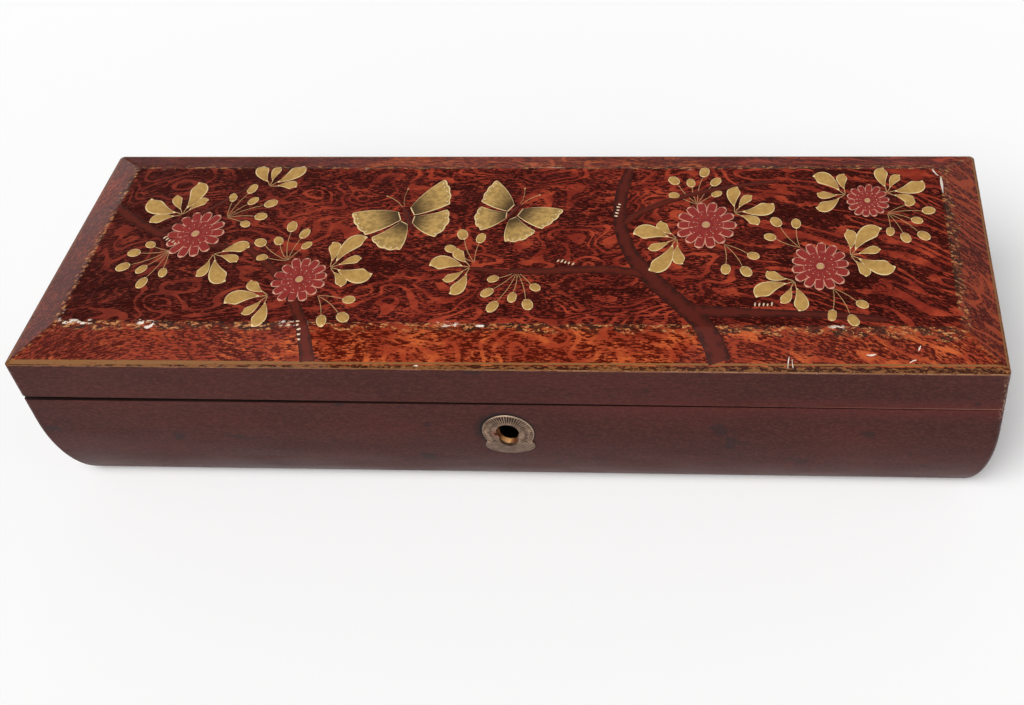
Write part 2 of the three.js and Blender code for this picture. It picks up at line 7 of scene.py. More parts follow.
import bmesh
import bpy
from mathutils import Matrix, Vector

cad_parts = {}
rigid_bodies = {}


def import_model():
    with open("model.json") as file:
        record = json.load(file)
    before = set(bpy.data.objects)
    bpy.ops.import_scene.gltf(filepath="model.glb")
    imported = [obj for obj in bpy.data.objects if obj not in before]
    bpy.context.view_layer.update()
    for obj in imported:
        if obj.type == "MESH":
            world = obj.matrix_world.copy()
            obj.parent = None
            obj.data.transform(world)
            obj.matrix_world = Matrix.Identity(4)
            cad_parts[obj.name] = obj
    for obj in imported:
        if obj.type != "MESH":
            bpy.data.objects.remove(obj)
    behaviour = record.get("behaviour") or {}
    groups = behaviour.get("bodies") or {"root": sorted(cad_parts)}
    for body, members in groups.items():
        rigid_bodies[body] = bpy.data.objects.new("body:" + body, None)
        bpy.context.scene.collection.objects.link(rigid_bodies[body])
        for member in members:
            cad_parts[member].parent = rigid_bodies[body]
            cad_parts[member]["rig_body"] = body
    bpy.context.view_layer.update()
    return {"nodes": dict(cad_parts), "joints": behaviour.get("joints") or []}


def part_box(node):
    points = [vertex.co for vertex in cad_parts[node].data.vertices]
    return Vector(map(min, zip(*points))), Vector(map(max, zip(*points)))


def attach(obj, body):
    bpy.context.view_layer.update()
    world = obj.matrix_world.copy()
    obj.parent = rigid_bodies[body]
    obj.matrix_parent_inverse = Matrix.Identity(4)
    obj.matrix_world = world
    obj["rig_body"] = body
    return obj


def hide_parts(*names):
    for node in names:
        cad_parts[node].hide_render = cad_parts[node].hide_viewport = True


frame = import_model()

MM = 0.001
TO_MM = 1000.0

# Sizes read from the frame
board_low, board_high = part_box("lid_top_board")
rail_low, rail_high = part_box("lid_left_rail")
wall_low, wall_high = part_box("base_left_wall")
floor_board_low, floor_board_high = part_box("base_bottom_board")
leaf_low, leaf_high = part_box("left_hinge_base_leaf")
HALF_LENGTH = board_high.x
HALF_DEPTH = board_high.y
WALL = wall_high.x - wall_low.x
BASE_TOP = wall_high.z
FLOOR_TOP = floor_board_high.z
LID_BOTTOM = rail_low.z
RAIL_TOP = rail_high.z
PANEL_Z = board_high.z
SEAM_Z = (BASE_TOP + LID_BOTTOM) / 2
lid_joint = next(joint for joint in frame["joints"] if joint["name"] == "lid_hinge")
HINGE_Y = lid_joint["pos_m"][1]

# Sizes that the frame holds only as faceted shapes
STRAIGHT = 10 * MM
CURVE_IN = 9 * MM
BEVEL_WIDTH = 13.3 * MM
BEVEL_RISE = 5.7 * MM
ARRIS_Z = PANEL_Z - BEVEL_RISE
PLAN_CORNER = 1.6 * MM
PANEL_CORNER = 1.4 * MM
INNER_CORNER = 0.8 * MM
WARP = 1.4 * MM
WARP_END = 70 * MM
FLUTES = 54
KEYHOLE_Z = BASE_TOP - 12.7 * MM
CORNER_STEPS = 6
CURVE_STEPS = 26
FILLET_STEPS = 4


# Node graphs

class Graph:
    """A material built by short calls. Each call returns the socket that holds its result."""

    def __init__(self, name):
        self.material = bpy.data.materials.new(name)
        self.material.use_nodes = True
        self.tree = self.material.node_tree
        self.tree.nodes.clear()
        output = self.tree.nodes.new("ShaderNodeOutputMaterial")
        self.shader = self.tree.nodes.new("ShaderNodeBsdfPrincipled")
        self.tree.links.new(self.shader.outputs[0], output.inputs["Surface"])
        place = self.tree.nodes.new("ShaderNodeTexCoord")
        self.place = self.vector("SCALE", place.outputs["Object"], scale=TO_MM)

    def feed(self, socket, value):
        if isinstance(value, bpy.types.NodeSocket):
            self.tree.links.new(value, socket)
        else:
            socket.default_value = value

    def math(self, operation, *values, clamp=False):
        node = self.tree.nodes.new("ShaderNodeMath")
        node.operation = operation
        node.use_clamp = clamp
        for socket, value in zip(node.inputs, values):
            self.feed(socket, value)
        return node.outputs[0]

    def vector(self, operation, *values, scale=None):
        node = self.tree.nodes.new("ShaderNodeVectorMath")
        node.operation = operation
        for socket, value in zip(node.inputs, values):
            self.feed(socket, value)
        if scale is not None:
            self.feed(node.inputs["Scale"], scale)
        return node.outputs["Value" if operation in ("LENGTH", "DISTANCE") else "Vector"]

    def split(self, vector):
        node = self.tree.nodes.new("ShaderNodeSeparateXYZ")
        self.feed(node.inputs[0], vector)
        return node.outputs[0], node.outputs[1], node.outputs[2]

    def join(self, x, y, z):
        node = self.tree.nodes.new("ShaderNodeCombineXYZ")
        for socket, value in zip(node.inputs, (x, y, z)):
            self.feed(socket, value)
        return node.outputs[0]

    def noise(self, vector, detail=2.0, rough=0.5, color=False):
        node = self.tree.nodes.new("ShaderNodeTexNoise")
        self.feed(node.inputs["Vector"], vector)
        node.inputs["Scale"].default_value = 1.0
        node.inputs["Detail"].default_value = detail
        node.inputs["Roughness"].default_value = rough
        return node.outputs["Color" if color else "Fac"]

    def cells(self, vector, output="Distance"):
        node = self.tree.nodes.new("ShaderNodeTexVoronoi")
        self.feed(node.inputs["Vector"], vector)
        node.inputs["Scale"].default_value = 1.0
        return node.outputs[output]

    def per(self, size_x, size_y=None, size_z=None, vector=None):
        """The place divided by a size in millimetres along each axis."""
        size_y = size_x if size_y is None else size_y
        size_z = size_x if size_z is None else size_z
        vector = self.place if vector is None else vector
        return self.vector("MULTIPLY", vector, (1 / size_x, 1 / size_y, 1 / size_z))

    def step(self, value, low, high, to_low=0.0, to_high=1.0):
        """Rises smoothly from to_low to to_high while value goes from low to high."""
        node = self.tree.nodes.new("ShaderNodeMapRange")
        node.interpolation_type = "SMOOTHSTEP"
        for name, number in zip(("Value", "From Min", "From Max", "To Min", "To Max"),
                                (value, low, high, to_low, to_high)):
            self.feed(node.inputs[name], number)
        return node.outputs[0]

    def mix(self, factor, first, second, blend="MIX"):
        node = self.tree.nodes.new("ShaderNodeMix")
        node.data_type = "RGBA"
        node.blend_type = blend
        self.feed(node.inputs["Factor"], factor)
        colors = [socket for socket in node.inputs if socket.type == "RGBA"]
        for socket, value in zip(colors, (first, second)):
            self.feed(socket, value if isinstance(value, bpy.types.NodeSocket) else (*value, 1.0))
        return next(socket for socket in node.outputs if socket.type == "RGBA")

    def bump(self, height, distance, strength=1.0):
        node = self.tree.nodes.new("ShaderNodeBump")
        node.inputs["Strength"].default_value = strength
        node.inputs["Distance"].default_value = distance
        self.feed(node.inputs["Height"], height)
        self.tree.links.new(node.outputs[0], self.shader.inputs["Normal"])

    def finish(self, color, roughness, metallic=0.0, specular=0.5):
        self.feed(self.shader.inputs["Base Color"],
                  color if isinstance(color, bpy.types.NodeSocket) else (*color, 1.0))
        self.feed(self.shader.inputs["Roughness"], roughness)
        self.shader.inputs["Metallic"].default_value = metallic
        self.feed(self.shader.inputs["Specular IOR Level"], specular)
        return self.material


def paint(red, green, blue):
    """A colour given as it looks on a screen, from 0 to 255, as the linear colour that nodes take."""
    def linear(value):
        share = value / 255
        return share / 12.92 if share <= 0.04045 else ((share + 0.055) / 1.055) ** 2.4
    return tuple(linear(value) for value in (red, green, blue))


# Materials

LINE_PLACE = 1.2
LINE_HALF = 0.6
LINE_LEAN = 1.5
FLOW_FROM, FLOW_TO = 48.0, 84.0
CHIPPED = ((-131.0, 5.0), (-108.5, 3.0), (-63.0, 4.0), (-16.0, 3.0), (100.0, 2.0))


def side_lacquer():
    """Thin maroon lacquer on the sides, rubbed along the edges with a painted highlight along the lid's lower edge,
    and with painted shadow and some dirt round the escutcheon.
    """
    g = Graph("side_lacquer")
    x, y, z = g.split(g.place)
    cloud = g.noise(g.per(60, 60, 16), 3)
    streak = g.noise(g.per(22, 22, 0.7), 3, 0.6)
    grain = g.noise(g.per(1.1, 1.1, 0.5), 2, 0.7)
    pore = g.noise(g.per(2.4, 2.4, 0.6, g.vector("ADD", g.place, (40, 40, 40))), 2, 0.6)
    color = g.mix(g.step(cloud, 0.3, 0.7), paint(56, 22, 18), paint(70, 28, 23))
    color = g.mix(g.step(streak, 0.4, 0.75, 0.0, 0.35), color, paint(44, 19, 17))
    color = g.mix(g.step(grain, 0.42, 0.68, 0.0, 0.5), color, paint(90, 48, 41))
    color = g.mix(g.step(pore, 0.5, 0.66, 0.0, 0.4), color, paint(40, 17, 16))
    near_seam = g.step(g.math("ABSOLUTE", g.math("SUBTRACT", z, SEAM_Z * TO_MM)), 0.0, 7.0, 1.0, 0.0)
    color = g.mix(g.math("MULTIPLY", near_seam, g.step(x, -80, 140, 0.0, 0.3)), color, paint(104, 38, 32))
    smudge = g.step(g.noise(g.per(9, 9, 6), 1), 0.68, 0.76, 0.0, 0.6)
    color = g.mix(smudge, color, paint(36, 24, 24))
    front_y, lock_z = -HALF_DEPTH * TO_MM, KEYHOLE_Z * TO_MM
    # A dark halo round the escutcheon: painted shadow, with some dirt
    from_lock = g.vector("DISTANCE", g.place, (-1.2, front_y, lock_z + 0.5))
    dirt_and_shadow = g.math("ADD", from_lock, g.math("MULTIPLY", g.noise(g.per(4), 2), 3.0))
    color = g.mix(g.step(dirt_and_shadow, 9.4, 11.6, 0.6, 0.0), color, paint(30, 17, 16))
    # A darker ring hugging the plate's edge: painted shade in the gap under it
    from_plate = g.vector("DISTANCE", g.place, (-0.2, front_y, lock_z + 0.25))
    plate_edge_shade = g.math("ADD", from_plate, g.math("MULTIPLY", g.noise(g.per(2), 2), 0.8))
    color = g.mix(g.step(plate_edge_shade, 8.8, 9.3, 0.95, 0.0), color, paint(16, 7, 6))
    # Edges rubbed through to lighter wood, more towards the right, with a painted highlight along the lid's lower
    # edge, and a few specks of white ground
    to_lid_edge = g.step(g.math("SUBTRACT", z, LID_BOTTOM * TO_MM), 0.25, 0.75, 1.0, 0.0)
    on_lid = g.math("GREATER_THAN", z, SEAM_Z * TO_MM)
    near_arris = g.step(z, ARRIS_Z * TO_MM - 0.4, ARRIS_Z * TO_MM - 0.1)
    rub = g.noise(g.per(7, 7, 7), 3, 0.7)
    edge = g.math("MAXIMUM", g.math("MULTIPLY", to_lid_edge, on_lid), near_arris)
    inward = g.math("MINIMUM", g.math("SUBTRACT", HALF_LENGTH * TO_MM, g.math("ABSOLUTE", x)),
                    g.math("SUBTRACT", HALF_DEPTH * TO_MM, g.math("ABSOLUTE", y)))
    edge = g.math("MULTIPLY", edge, g.step(inward, 0.3, 0.8, 1.0, 0.0))
    rubbed = g.math("ADD", rub, g.step(x, -150, 150, -0.12, 0.1))
    rubbed = g.step(rubbed, 0.42, 0.54, 0.0, 0.75)
    # Lighter rubbed colour: wear, and a painted highlight along the lid's lower edge
    color = g.mix(g.math("MULTIPLY", edge, rubbed), color, paint(132, 88, 74))
    speck = g.step(g.noise(g.per(1.6, 1.6, 1.0), 1), 0.76, 0.79)
    color = g.mix(g.math("MULTIPLY", edge, speck), color, paint(205, 180, 160))
    across = g.join(g.math("ABSOLUTE", x), g.math("ABSOLUTE", y), 0.0)
    from_corner = g.vector("DISTANCE", across, (HALF_LENGTH * TO_MM, HALF_DEPTH * TO_MM, 0.0))
    worn = g.math("MULTIPLY", g.step(from_corner, 0.8, 2.2, 1.0, 0.0), g.step(z, SEAM_Z * TO_MM - 6, SEAM_Z * TO_MM))
    worn = g.math("MULTIPLY", worn, g.step(g.noise(g.per(0.9, 0.9, 1.6), 3, 0.75), 0.52, 0.6))
    color = g.mix(g.math("MULTIPLY", worn, g.step(x, -150, 150, 0.2, 0.8)), color, paint(162, 122, 98))
    roughness = g.step(g.noise(g.per(25, 25, 6), 3), 0.3, 0.7, 0.34, 0.46)
    wave = g.math("ADD", g.noise(g.per(9, 9, 3), 2), g.math("MULTIPLY", grain, 0.12))
    g.bump(wave, 0.03 * MM)
    return g.finish(color, roughness, specular=0.12)


def bent_place(g, x, y, z):
    """The place with Y bent at both ends, so that whatever is drawn in it curves forward there."""
    right = g.math("MAXIMUM", g.math("SUBTRACT", x, 40.0), 0.0)
    left = g.math("MAXIMUM", g.math("SUBTRACT", -105.0, x), 0.0)
    bend = g.math("ADD", g.math("MULTIPLY", g.math("MULTIPLY", right, right), 0.0028),
                  g.math("MULTIPLY", g.math("MULTIPLY", left, left), 0.009))
    return g.join(x, g.math("ADD", y, bend), z)


def burl_lines(g, x, bent):
    """From -1 in the clear red bands to 1 in the dark ones: loops, ring eyes and a flowing grain."""
    swirl = g.vector("SUBTRACT", g.noise(g.per(24, 18, 18, bent), 1.5, color=True), (0.5, 0.5, 0.5))
    warped = g.vector("ADD", bent, g.vector("SCALE", swirl, scale=20.0))
    loops = g.noise(g.per(25, 14, 14, warped), 1.2)
    flow = g.noise(g.per(80, 11, 11, g.vector("ADD", bent, g.vector("SCALE", swirl, scale=10.0))), 1.2)
    flowing = g.step(x, FLOW_FROM, FLOW_TO)
    field = g.math("ADD", g.math("MULTIPLY", loops, g.math("SUBTRACT", 1.0, flowing)),
                   g.math("MULTIPLY", flow, flowing))
    bands = g.math("SINE", g.math("MULTIPLY", field, g.step(flowing, 0.0, 1.0, 64.0, 48.0)))
    eye_place = g.per(27, 19, 19, g.vector("ADD", bent, g.vector("SCALE", swirl, scale=7.0)))
    eye_distance = g.cells(eye_place)
    eye_random, _, _ = g.split(g.cells(eye_place, "Color"))
    rings = g.math("COSINE", g.math("MULTIPLY", eye_distance, 50.0))
    in_eye = g.math("MULTIPLY", g.step(eye_distance, 0.2, 0.28, 1.0, 0.0), g.step(eye_random, 0.5, 0.56))
    return g.math("ADD", g.math("MULTIPLY", bands, g.math("SUBTRACT", 1.0, in_eye)),
                  g.math("MULTIPLY", rings, in_eye))


def weighted(g, *terms):
    """The sum of fields, each a noise about 0.5 that is centred and scaled by its weight."""
    total = 0.0
    for field, weight in terms:
        total = g.math("ADD", total, g.math("MULTIPLY", g.math("SUBTRACT", field, 0.5), weight))
    return total


def figured_lacquer():
    """Red-orange lacquer with a dark burl figure, a gold line near the edge and worn arrises."""
    g = Graph("figured_lacquer")
    x, y, z = g.split(g.place)
    # How far each place lies in from the lid's outer edge, and past the panel's edge
    half_x, half_y = HALF_LENGTH * TO_MM, HALF_DEPTH * TO_MM
    out_x = g.math("SUBTRACT", half_x, g.math("ABSOLUTE", x))
    out_front = g.math("ADD", y, half_y)
    out_back = g.math("SUBTRACT", half_y, y)
    out_y = g.math("MINIMUM", out_front, out_back)
    from_edge = g.math("MINIMUM", out_x, out_y)
    from_panel = g.math("SUBTRACT", from_edge, BEVEL_WIDTH * TO_MM)
    on_bevel = g.step(from_panel, -0.7, 0.1, 1.0, 0.0)
    on_front = g.math("MULTIPLY", on_bevel, g.step(g.math("SUBTRACT", out_x, out_front), -0.8, 0.8))
    on_end = g.math("MULTIPLY", on_bevel, g.step(g.math("SUBTRACT", out_y, out_x), -0.8, 0.8))

    # Clear red ribbons with thin dark edges, over a ground of fine dark dashes and dark patches
    bent = bent_place(g, x, y, z)
    lines = burl_lines(g, x, bent)
    dash = g.noise(g.per(1.9, 0.46, 0.46, bent), 1.5, 0.55)
    speck = g.noise(g.per(0.9, 0.36, 0.36, bent), 1, 0.5)
    mottle = g.noise(g.per(3.6, 1.6, 1.6, bent), 2)
    patch = g.noise(g.per(30, 20, 20), 2)
    blot = g.step(g.noise(g.per(15, 8, 8, bent), 2), 0.58, 0.68)
    tone = g.noise(g.per(11, 7, 7), 3, 0.6)
    clear = g.math("MAXIMUM", g.step(patch, 0.42, 0.6, 1.0, 0.5), g.step(x, FLOW_FROM, FLOW_TO, 0.0, 0.85))
    clear_bevel = g.step(x, -110, 0, 0.3, 0.9)
    clear = g.math("MULTIPLY", clear, g.step(on_bevel, 0.0, 1.0, 1.0, clear_bevel))
    frayed = g.noise(g.per(2.2, 0.8, 0.8, bent), 2, 0.65)
    lines = g.math("ADD", lines, g.math("MULTIPLY", g.math("SUBTRACT", frayed, 0.5), 0.9))
    ribbon = g.math("MULTIPLY", g.step(lines, -0.72, -0.42, 1.0, 0.0), clear)
    outline = g.math("ABSOLUTE", g.math("ADD", lines, 0.2))
    outline = g.math("MULTIPLY", g.step(outline, 0.08, 0.4, 1.0, 0.0), clear)
    dark = weighted(g, (dash, 7.5), (speck, 3.2), (mottle, 2.2), (patch, 2.8))
    dark = g.math("MULTIPLY", dark, g.math("SUBTRACT", 1.0, g.math("MULTIPLY", ribbon, 0.45)))
    dark = g.math("ADD", dark, g.math("MULTIPLY", outline, 0.45))
    dark = g.math("SUBTRACT", dark, g.math("MULTIPLY", ribbon, 0.6))
    flowing = g.math("SUBTRACT", 1.0, on_bevel)
    flowing = g.math("MULTIPLY", flowing, g.step(x, FLOW_FROM, FLOW_TO))
    dark = g.math("ADD", dark, g.math("MULTIPLY", flowing, 0.3))
    dark = g.math("ADD", dark, g.math("MULTIPLY", blot, g.step(on_bevel, 0.0, 1.0, 0.8, 0.4)))
    dark = g.math("ADD", dark, g.math("MULTIPLY", g.math("MULTIPLY", lines, clear), 0.3))
    dark = g.math("ADD", dark, g.step(x, -120, -60, 0.3, 0.0))
    dark = g.math("ADD", dark, g.math("MULTIPLY", on_bevel, -0.15))
    red = g.mix(g.step(tone, 0.4, 0.66), paint(128, 42, 29), paint(170, 66, 42))
    # Towards the left the reds turn greyer and duller and the orange less warm: a painted sheen
    red = g.mix(g.step(x, -130, -20, 0.65, 0.0), red, paint(108, 43, 34))
    half_red = g.mix(g.step(tone, 0.4, 0.7), paint(88, 26, 19), paint(108, 36, 27))
    half_red = g.mix(g.step(x, -130, -20, 0.6, 0.0), half_red, paint(76, 29, 23))
    warmth = g.math("ADD", tone, g.step(x, -140, -40, -0.1, 0.0))
    orange = g.mix(g.step(warmth, 0.42, 0.64), paint(148, 56, 33), paint(188, 90, 46))
    half_orange = g.mix(g.step(tone, 0.4, 0.7), paint(118, 41, 25), paint(138, 56, 33))
    # Brighter orange on the front bevel: partly its own tone, partly painted light on the face turned to the lamp
    ground = g.mix(on_front, red, orange)
    ground = g.mix(g.math("MULTIPLY", on_end, 0.7), ground, paint(158, 70, 40))
    shade = g.mix(g.step(mottle, 0.35, 0.7), paint(44, 9, 5), paint(62, 15, 9))
    bevel_shade = g.mix(g.step(x, -60, 120), paint(84, 26, 13), paint(68, 20, 8))
    shade = g.mix(on_bevel, shade, g.mix(g.step(mottle, 0.3, 0.6), bevel_shade, paint(74, 18, 8)))
    softened = g.math("MULTIPLY", on_bevel, g.step(x, -130, -50, 0.3, 0.0))
    dark_mask = g.step(dark, g.math("SUBTRACT", -0.02, softened), g.math("ADD", 0.3, softened))
    lit = g.math("MAXIMUM", g.step(dark, -0.95, -0.3, 1.0, 0.0), ribbon)
    color = g.mix(lit, g.mix(on_front, half_red, half_orange), ground)
    color = g.mix(dark_mask, color, shade)

    # The gold line, and the rubbed band outside it, which widens to the right along the front
    lean = g.math("MULTIPLY", g.math("ADD", x, half_x), LINE_LEAN / (2 * half_x))
    end_line = g.math("ADD", g.math("MINIMUM", out_x, out_back), 0.45)
    to_line = g.math("MINIMUM", end_line, g.math("SUBTRACT", out_front, lean))
    rub = g.noise(g.per(2.4, 0.9, 0.9), 3, 0.65)
    off_line = g.math("ABSOLUTE", g.math("SUBTRACT", to_line, LINE_PLACE))
    line_half = g.step(x, -0.9 * half_x, -0.1 * half_x, LINE_HALF, 0.4 * LINE_HALF)
    on_line = g.step(g.math("SUBTRACT", off_line, line_half), 0.0, 0.14, 1.0, 0.0)
    left_end = g.math("MULTIPLY", g.step(x, 10 - half_x, 20 - half_x, 1.0, 0.0),
                      g.step(g.math("SUBTRACT", out_front, out_x), 0.5, 6.0))
    on_line = g.math("MULTIPLY", on_line, g.math("SUBTRACT", 1.0, g.math("MULTIPLY", left_end, 0.7)))
    outside = g.step(to_line, LINE_PLACE - LINE_HALF - 0.1, LINE_PLACE - LINE_HALF + 0.1, 1.0, 0.0)
    rubbed = g.math("ADD", rub, g.step(x, -half_x, half_x, 0.04, 0.1))
    band = g.mix(g.step(rubbed, 0.52, 0.6), paint(124, 80, 47), paint(58, 26, 18))
    band = g.mix(g.step(speck, 0.6, 0.7, 0.0, 0.6), band, paint(158, 106, 68))
    color = g.mix(outside, color, band)
    worn_line = g.step(rub, 0.28, 0.42, 0.45, 1.0)
    color = g.mix(g.math("MULTIPLY", on_line, worn_line), color, paint(132, 90, 53))
    arris = g.math("MULTIPLY", g.step(from_edge, 0.2, 0.45, 1.0, 0.0), g.step(rub, 0.46, 0.54))
    arris = g.math("MULTIPLY", arris, g.step(x, -120, 40, 0.3, 1.0))
    color = g.mix(arris, color, paint(150, 108, 72))

    # Wear along the panel's edge and down the hips: dirt, rubbed tan specks and white chips
    uneven = g.math("MULTIPLY", g.math("SUBTRACT", g.noise(g.per(6, 3, 3), 3), 0.5), 7.0)
    ragged = g.math("ADD", from_panel, g.math("ADD", uneven, g.step(x, 70, 120, 0.0, 0.9)))
    zone = g.math("MULTIPLY", g.step(ragged, -2.6, -1.2), g.step(from_panel, 0.1, 0.8, 1.0, 0.0))
    hip = g.step(g.math("ABSOLUTE", g.math("SUBTRACT", out_x, out_y)), 0.3, 1.6, 1.0, 0.0)
    zone = g.math("MAXIMUM", zone, g.math("MULTIPLY", g.math("MULTIPLY", hip, on_bevel), 0.6))
    patchy = g.step(g.noise(g.per(15, 15, 15), 2), 0.38, 0.58, 0.25, 1.0)
    dirty = g.math("MULTIPLY", patchy, g.step(mottle, 0.4, 0.56, 0.15, 0.9))
    color = g.mix(g.math("MULTIPLY", zone, dirty), color, paint(50, 30, 22))
    fleck = g.noise(g.per(2.2, 1.0, 1.0), 3, 0.65)
    tan = g.math("MULTIPLY", zone, g.step(fleck, 0.54, 0.59))
    color = g.mix(tan, color, g.mix(g.step(speck, 0.4, 0.6), paint(156, 84, 46), paint(192, 136, 86)))
    at_panel = g.step(g.math("ABSOLUTE", g.math("SUBTRACT", from_panel, 0.1)), 0.7, 1.1, 1.0, 0.0)
    near = 0.0
    for middle, reach in CHIPPED:
        away = g.math("ABSOLUTE", g.math("SUBTRACT", x, middle))
        near = g.math("MAXIMUM", near, g.step(away, reach - 1, reach + 1, 1.0, 0.0))
    near = g.math("MULTIPLY", near, g.step(y, -34, -30, 1.0, 0.0))
    near = g.math("MAXIMUM", near, g.step(g.noise(g.per(13, 13, 13), 1), 0.68, 0.74))
    chips = g.math("MULTIPLY", g.math("MULTIPLY", at_panel, near),
                   g.step(g.noise(g.per(2.6, 1.2, 1.2), 3, 0.65), 0.52, 0.55))
    color = g.mix(chips, color, g.mix(g.step(speck, 0.4, 0.6), paint(232, 220, 208), paint(196, 170, 148)))

    roughness = g.step(g.noise(g.per(18, 18, 18), 3), 0.3, 0.7, 0.22, 0.34)
    roughness = g.math("ADD", roughness, g.math("MULTIPLY", zone, 0.15))
    relief = g.math("ADD", g.math("MULTIPLY", dark_mask, 0.25), g.noise(g.per(7, 7, 7), 2))
    g.bump(relief, 0.04 * MM)
    on_back = g.math("MULTIPLY", on_bevel, g.step(g.math("SUBTRACT", out_x, out_back), -0.8, 0.8))
    return g.finish(color, roughness, specular=g.step(on_back, 0.0, 1.0, 0.09, 0.005))


def inner_lacquer():
    g = Graph("inner_lacquer")
    dust = g.noise(g.per(1.3), 3, 0.6)
    brush = g.noise(g.per(40, 4, 4), 3)
    color = g.mix(g.step(brush, 0.3, 0.7), paint(30, 20, 19), paint(42, 27, 24))
    color = g.mix(g.step(dust, 0.6, 0.8, 0.0, 0.25), color, paint(96, 80, 70))
    g.bump(g.math("ADD", brush, g.math("MULTIPLY", dust, 0.2)), 0.04 * MM)
    return g.finish(color, g.step(dust, 0.4, 0.8, 0.42, 0.6), specular=0.15)


def raw_wood():
    g = Graph("raw_wood")
    grain = g.noise(g.per(9, 0.7, 0.7), 4, 0.6)
    x, _, z = g.split(g.place)
    color = g.mix(g.step(grain, 0.3, 0.7), paint(188, 128, 78), paint(138, 86, 50))
    in_foot = g.step(z, KEYHOLE_Z * TO_MM - 1.5, KEYHOLE_Z * TO_MM, 1.0, 0.0)
    # In the keyhole's foot the right half is darkened: a painted shadow
    color = g.mix(g.math("MULTIPLY", in_foot, g.step(x, 0.0, 1.2)), color, paint(104, 60, 32))
    # A bright, splintered patch at the foot's left: painted light falling through the keyhole onto splintered wood
    splinter = g.math("ADD", g.math("ABSOLUTE", g.math("ADD", x, 1.5)), g.noise(g.per(0.7), 2, 0.6))
    lit_splinters = g.math("MULTIPLY", in_foot, g.step(splinter, 1.4, 2.2, 1.0, 0.0))
    color = g.mix(lit_splinters, color, paint(246, 184, 118))
    g.bump(grain, 0.1 * MM)
    return g.finish(color, 0.75, specular=0.25)


def metal(name, light, dark, stain, roughness, grain_size):
    g = Graph(name)
    cloud = g.noise(g.per(3.5), 3, 0.6)
    fine = g.noise(g.per(grain_size), 2, 0.6)
    color = g.mix(g.step(cloud, 0.35, 0.65), light, dark)
    color = g.mix(g.step(fine, 0.5, 0.75, 0.0, 0.6), color, stain)
    # Painted shade on what is shut up in the lock, between the front wall's skin and its inside face
    _, y, z = g.split(g.place)
    inside_y, flange_z = (WALL - HALF_DEPTH) * TO_MM, BASE_TOP * TO_MM - 0.7
    lock_shade = g.math("MULTIPLY", g.step(y, inside_y + 0.02, inside_y + 0.1, 1.0, 0.0),
                     g.step(z, flange_z - 0.1, flange_z - 0.02, 0.92, 0.0))
    color = g.mix(lock_shade, color, paint(24, 17, 12))
    # Painted shade also on metal near the front wall's skin
    front_edge = (WALL / 2 - HALF_DEPTH) * TO_MM - 2.0
    color = g.mix(g.step(y, front_edge, front_edge + 0.4, 0.92, 0.0), color, paint(24, 17, 12))
    g.bump(g.math("ADD", fine, cloud), 0.03 * MM)
    low, high = roughness
    return g.finish(color, g.step(cloud, 0.3, 0.7, low, high), metallic=1.0)


def stamped_brass():
    """Thin brass gone brown and dull, with dirt between its flutes and a painted highlight on its rim."""
    g = Graph("aged_brass")
    x, y, z = g.split(g.place)
    up = g.math("SUBTRACT", z, KEYHOLE_Z * TO_MM)
    around = g.math("ARCTAN2", up, x)
    out = g.math("SQRT", g.math("ADD", g.math("MULTIPLY", x, x), g.math("MULTIPLY", up, up)))
    cloud = g.noise(g.per(2.6), 3, 0.6)
    dots = g.noise(g.per(0.42), 1)
    color = g.mix(g.step(cloud, 0.32, 0.68), paint(150, 123, 102), paint(112, 88, 73))
    color = g.mix(g.step(dots, 0.52, 0.66, 0.0, 0.6), color, paint(74, 54, 42))
    flute = g.math("COSINE", g.math("MULTIPLY", around, float(FLUTES)))
    in_flutes = g.math("MULTIPLY", g.step(out, 4.7, 5.6), g.step(out, 7.5, 7.9, 1.0, 0.0))
    in_flutes = g.math("MULTIPLY", in_flutes, g.step(up, -4.6, -3.6))
    groove = g.math("MULTIPLY", in_flutes, g.step(flute, -0.4, 0.5, 1.0, 0.0))
    color = g.mix(groove, color, paint(44, 30, 24))
    # Painted highlight along the rim, brightest towards the upper right
    lit_side = g.step(g.math("ADD", x, up), -3.0, 8.0, 0.1, 1.0)
    color = g.mix(g.math("MULTIPLY", g.step(out, 7.65, 7.95), lit_side), color, paint(170, 144, 122))
    on_foot = g.step(up, -5.4, -4.2, 1.0, 0.0)
    curve_line = g.math("COSINE", g.math("MULTIPLY", out, 6.5))
    color = g.mix(g.math("MULTIPLY", on_foot, 0.5), color, paint(112, 90, 78))
    color = g.mix(g.math("MULTIPLY", on_foot, g.step(curve_line, 0.2, 0.9, 0.0, 0.7)), color, paint(74, 56, 47))
    nick_place = (-3.4, -HALF_DEPTH * TO_MM, KEYHOLE_Z * TO_MM)
    near_nick = g.step(g.vector("DISTANCE", g.place, nick_place), 0.6, 2.6, 0.6, 0.0)
    color = g.mix(near_nick, color, paint(150, 84, 56))
    g.bump(g.math("SUBTRACT", dots, g.math("MULTIPLY", groove, 0.6)), 0.05 * MM)
    return g.finish(color, g.step(cloud, 0.3, 0.7, 0.42, 0.58), metallic=0.75)


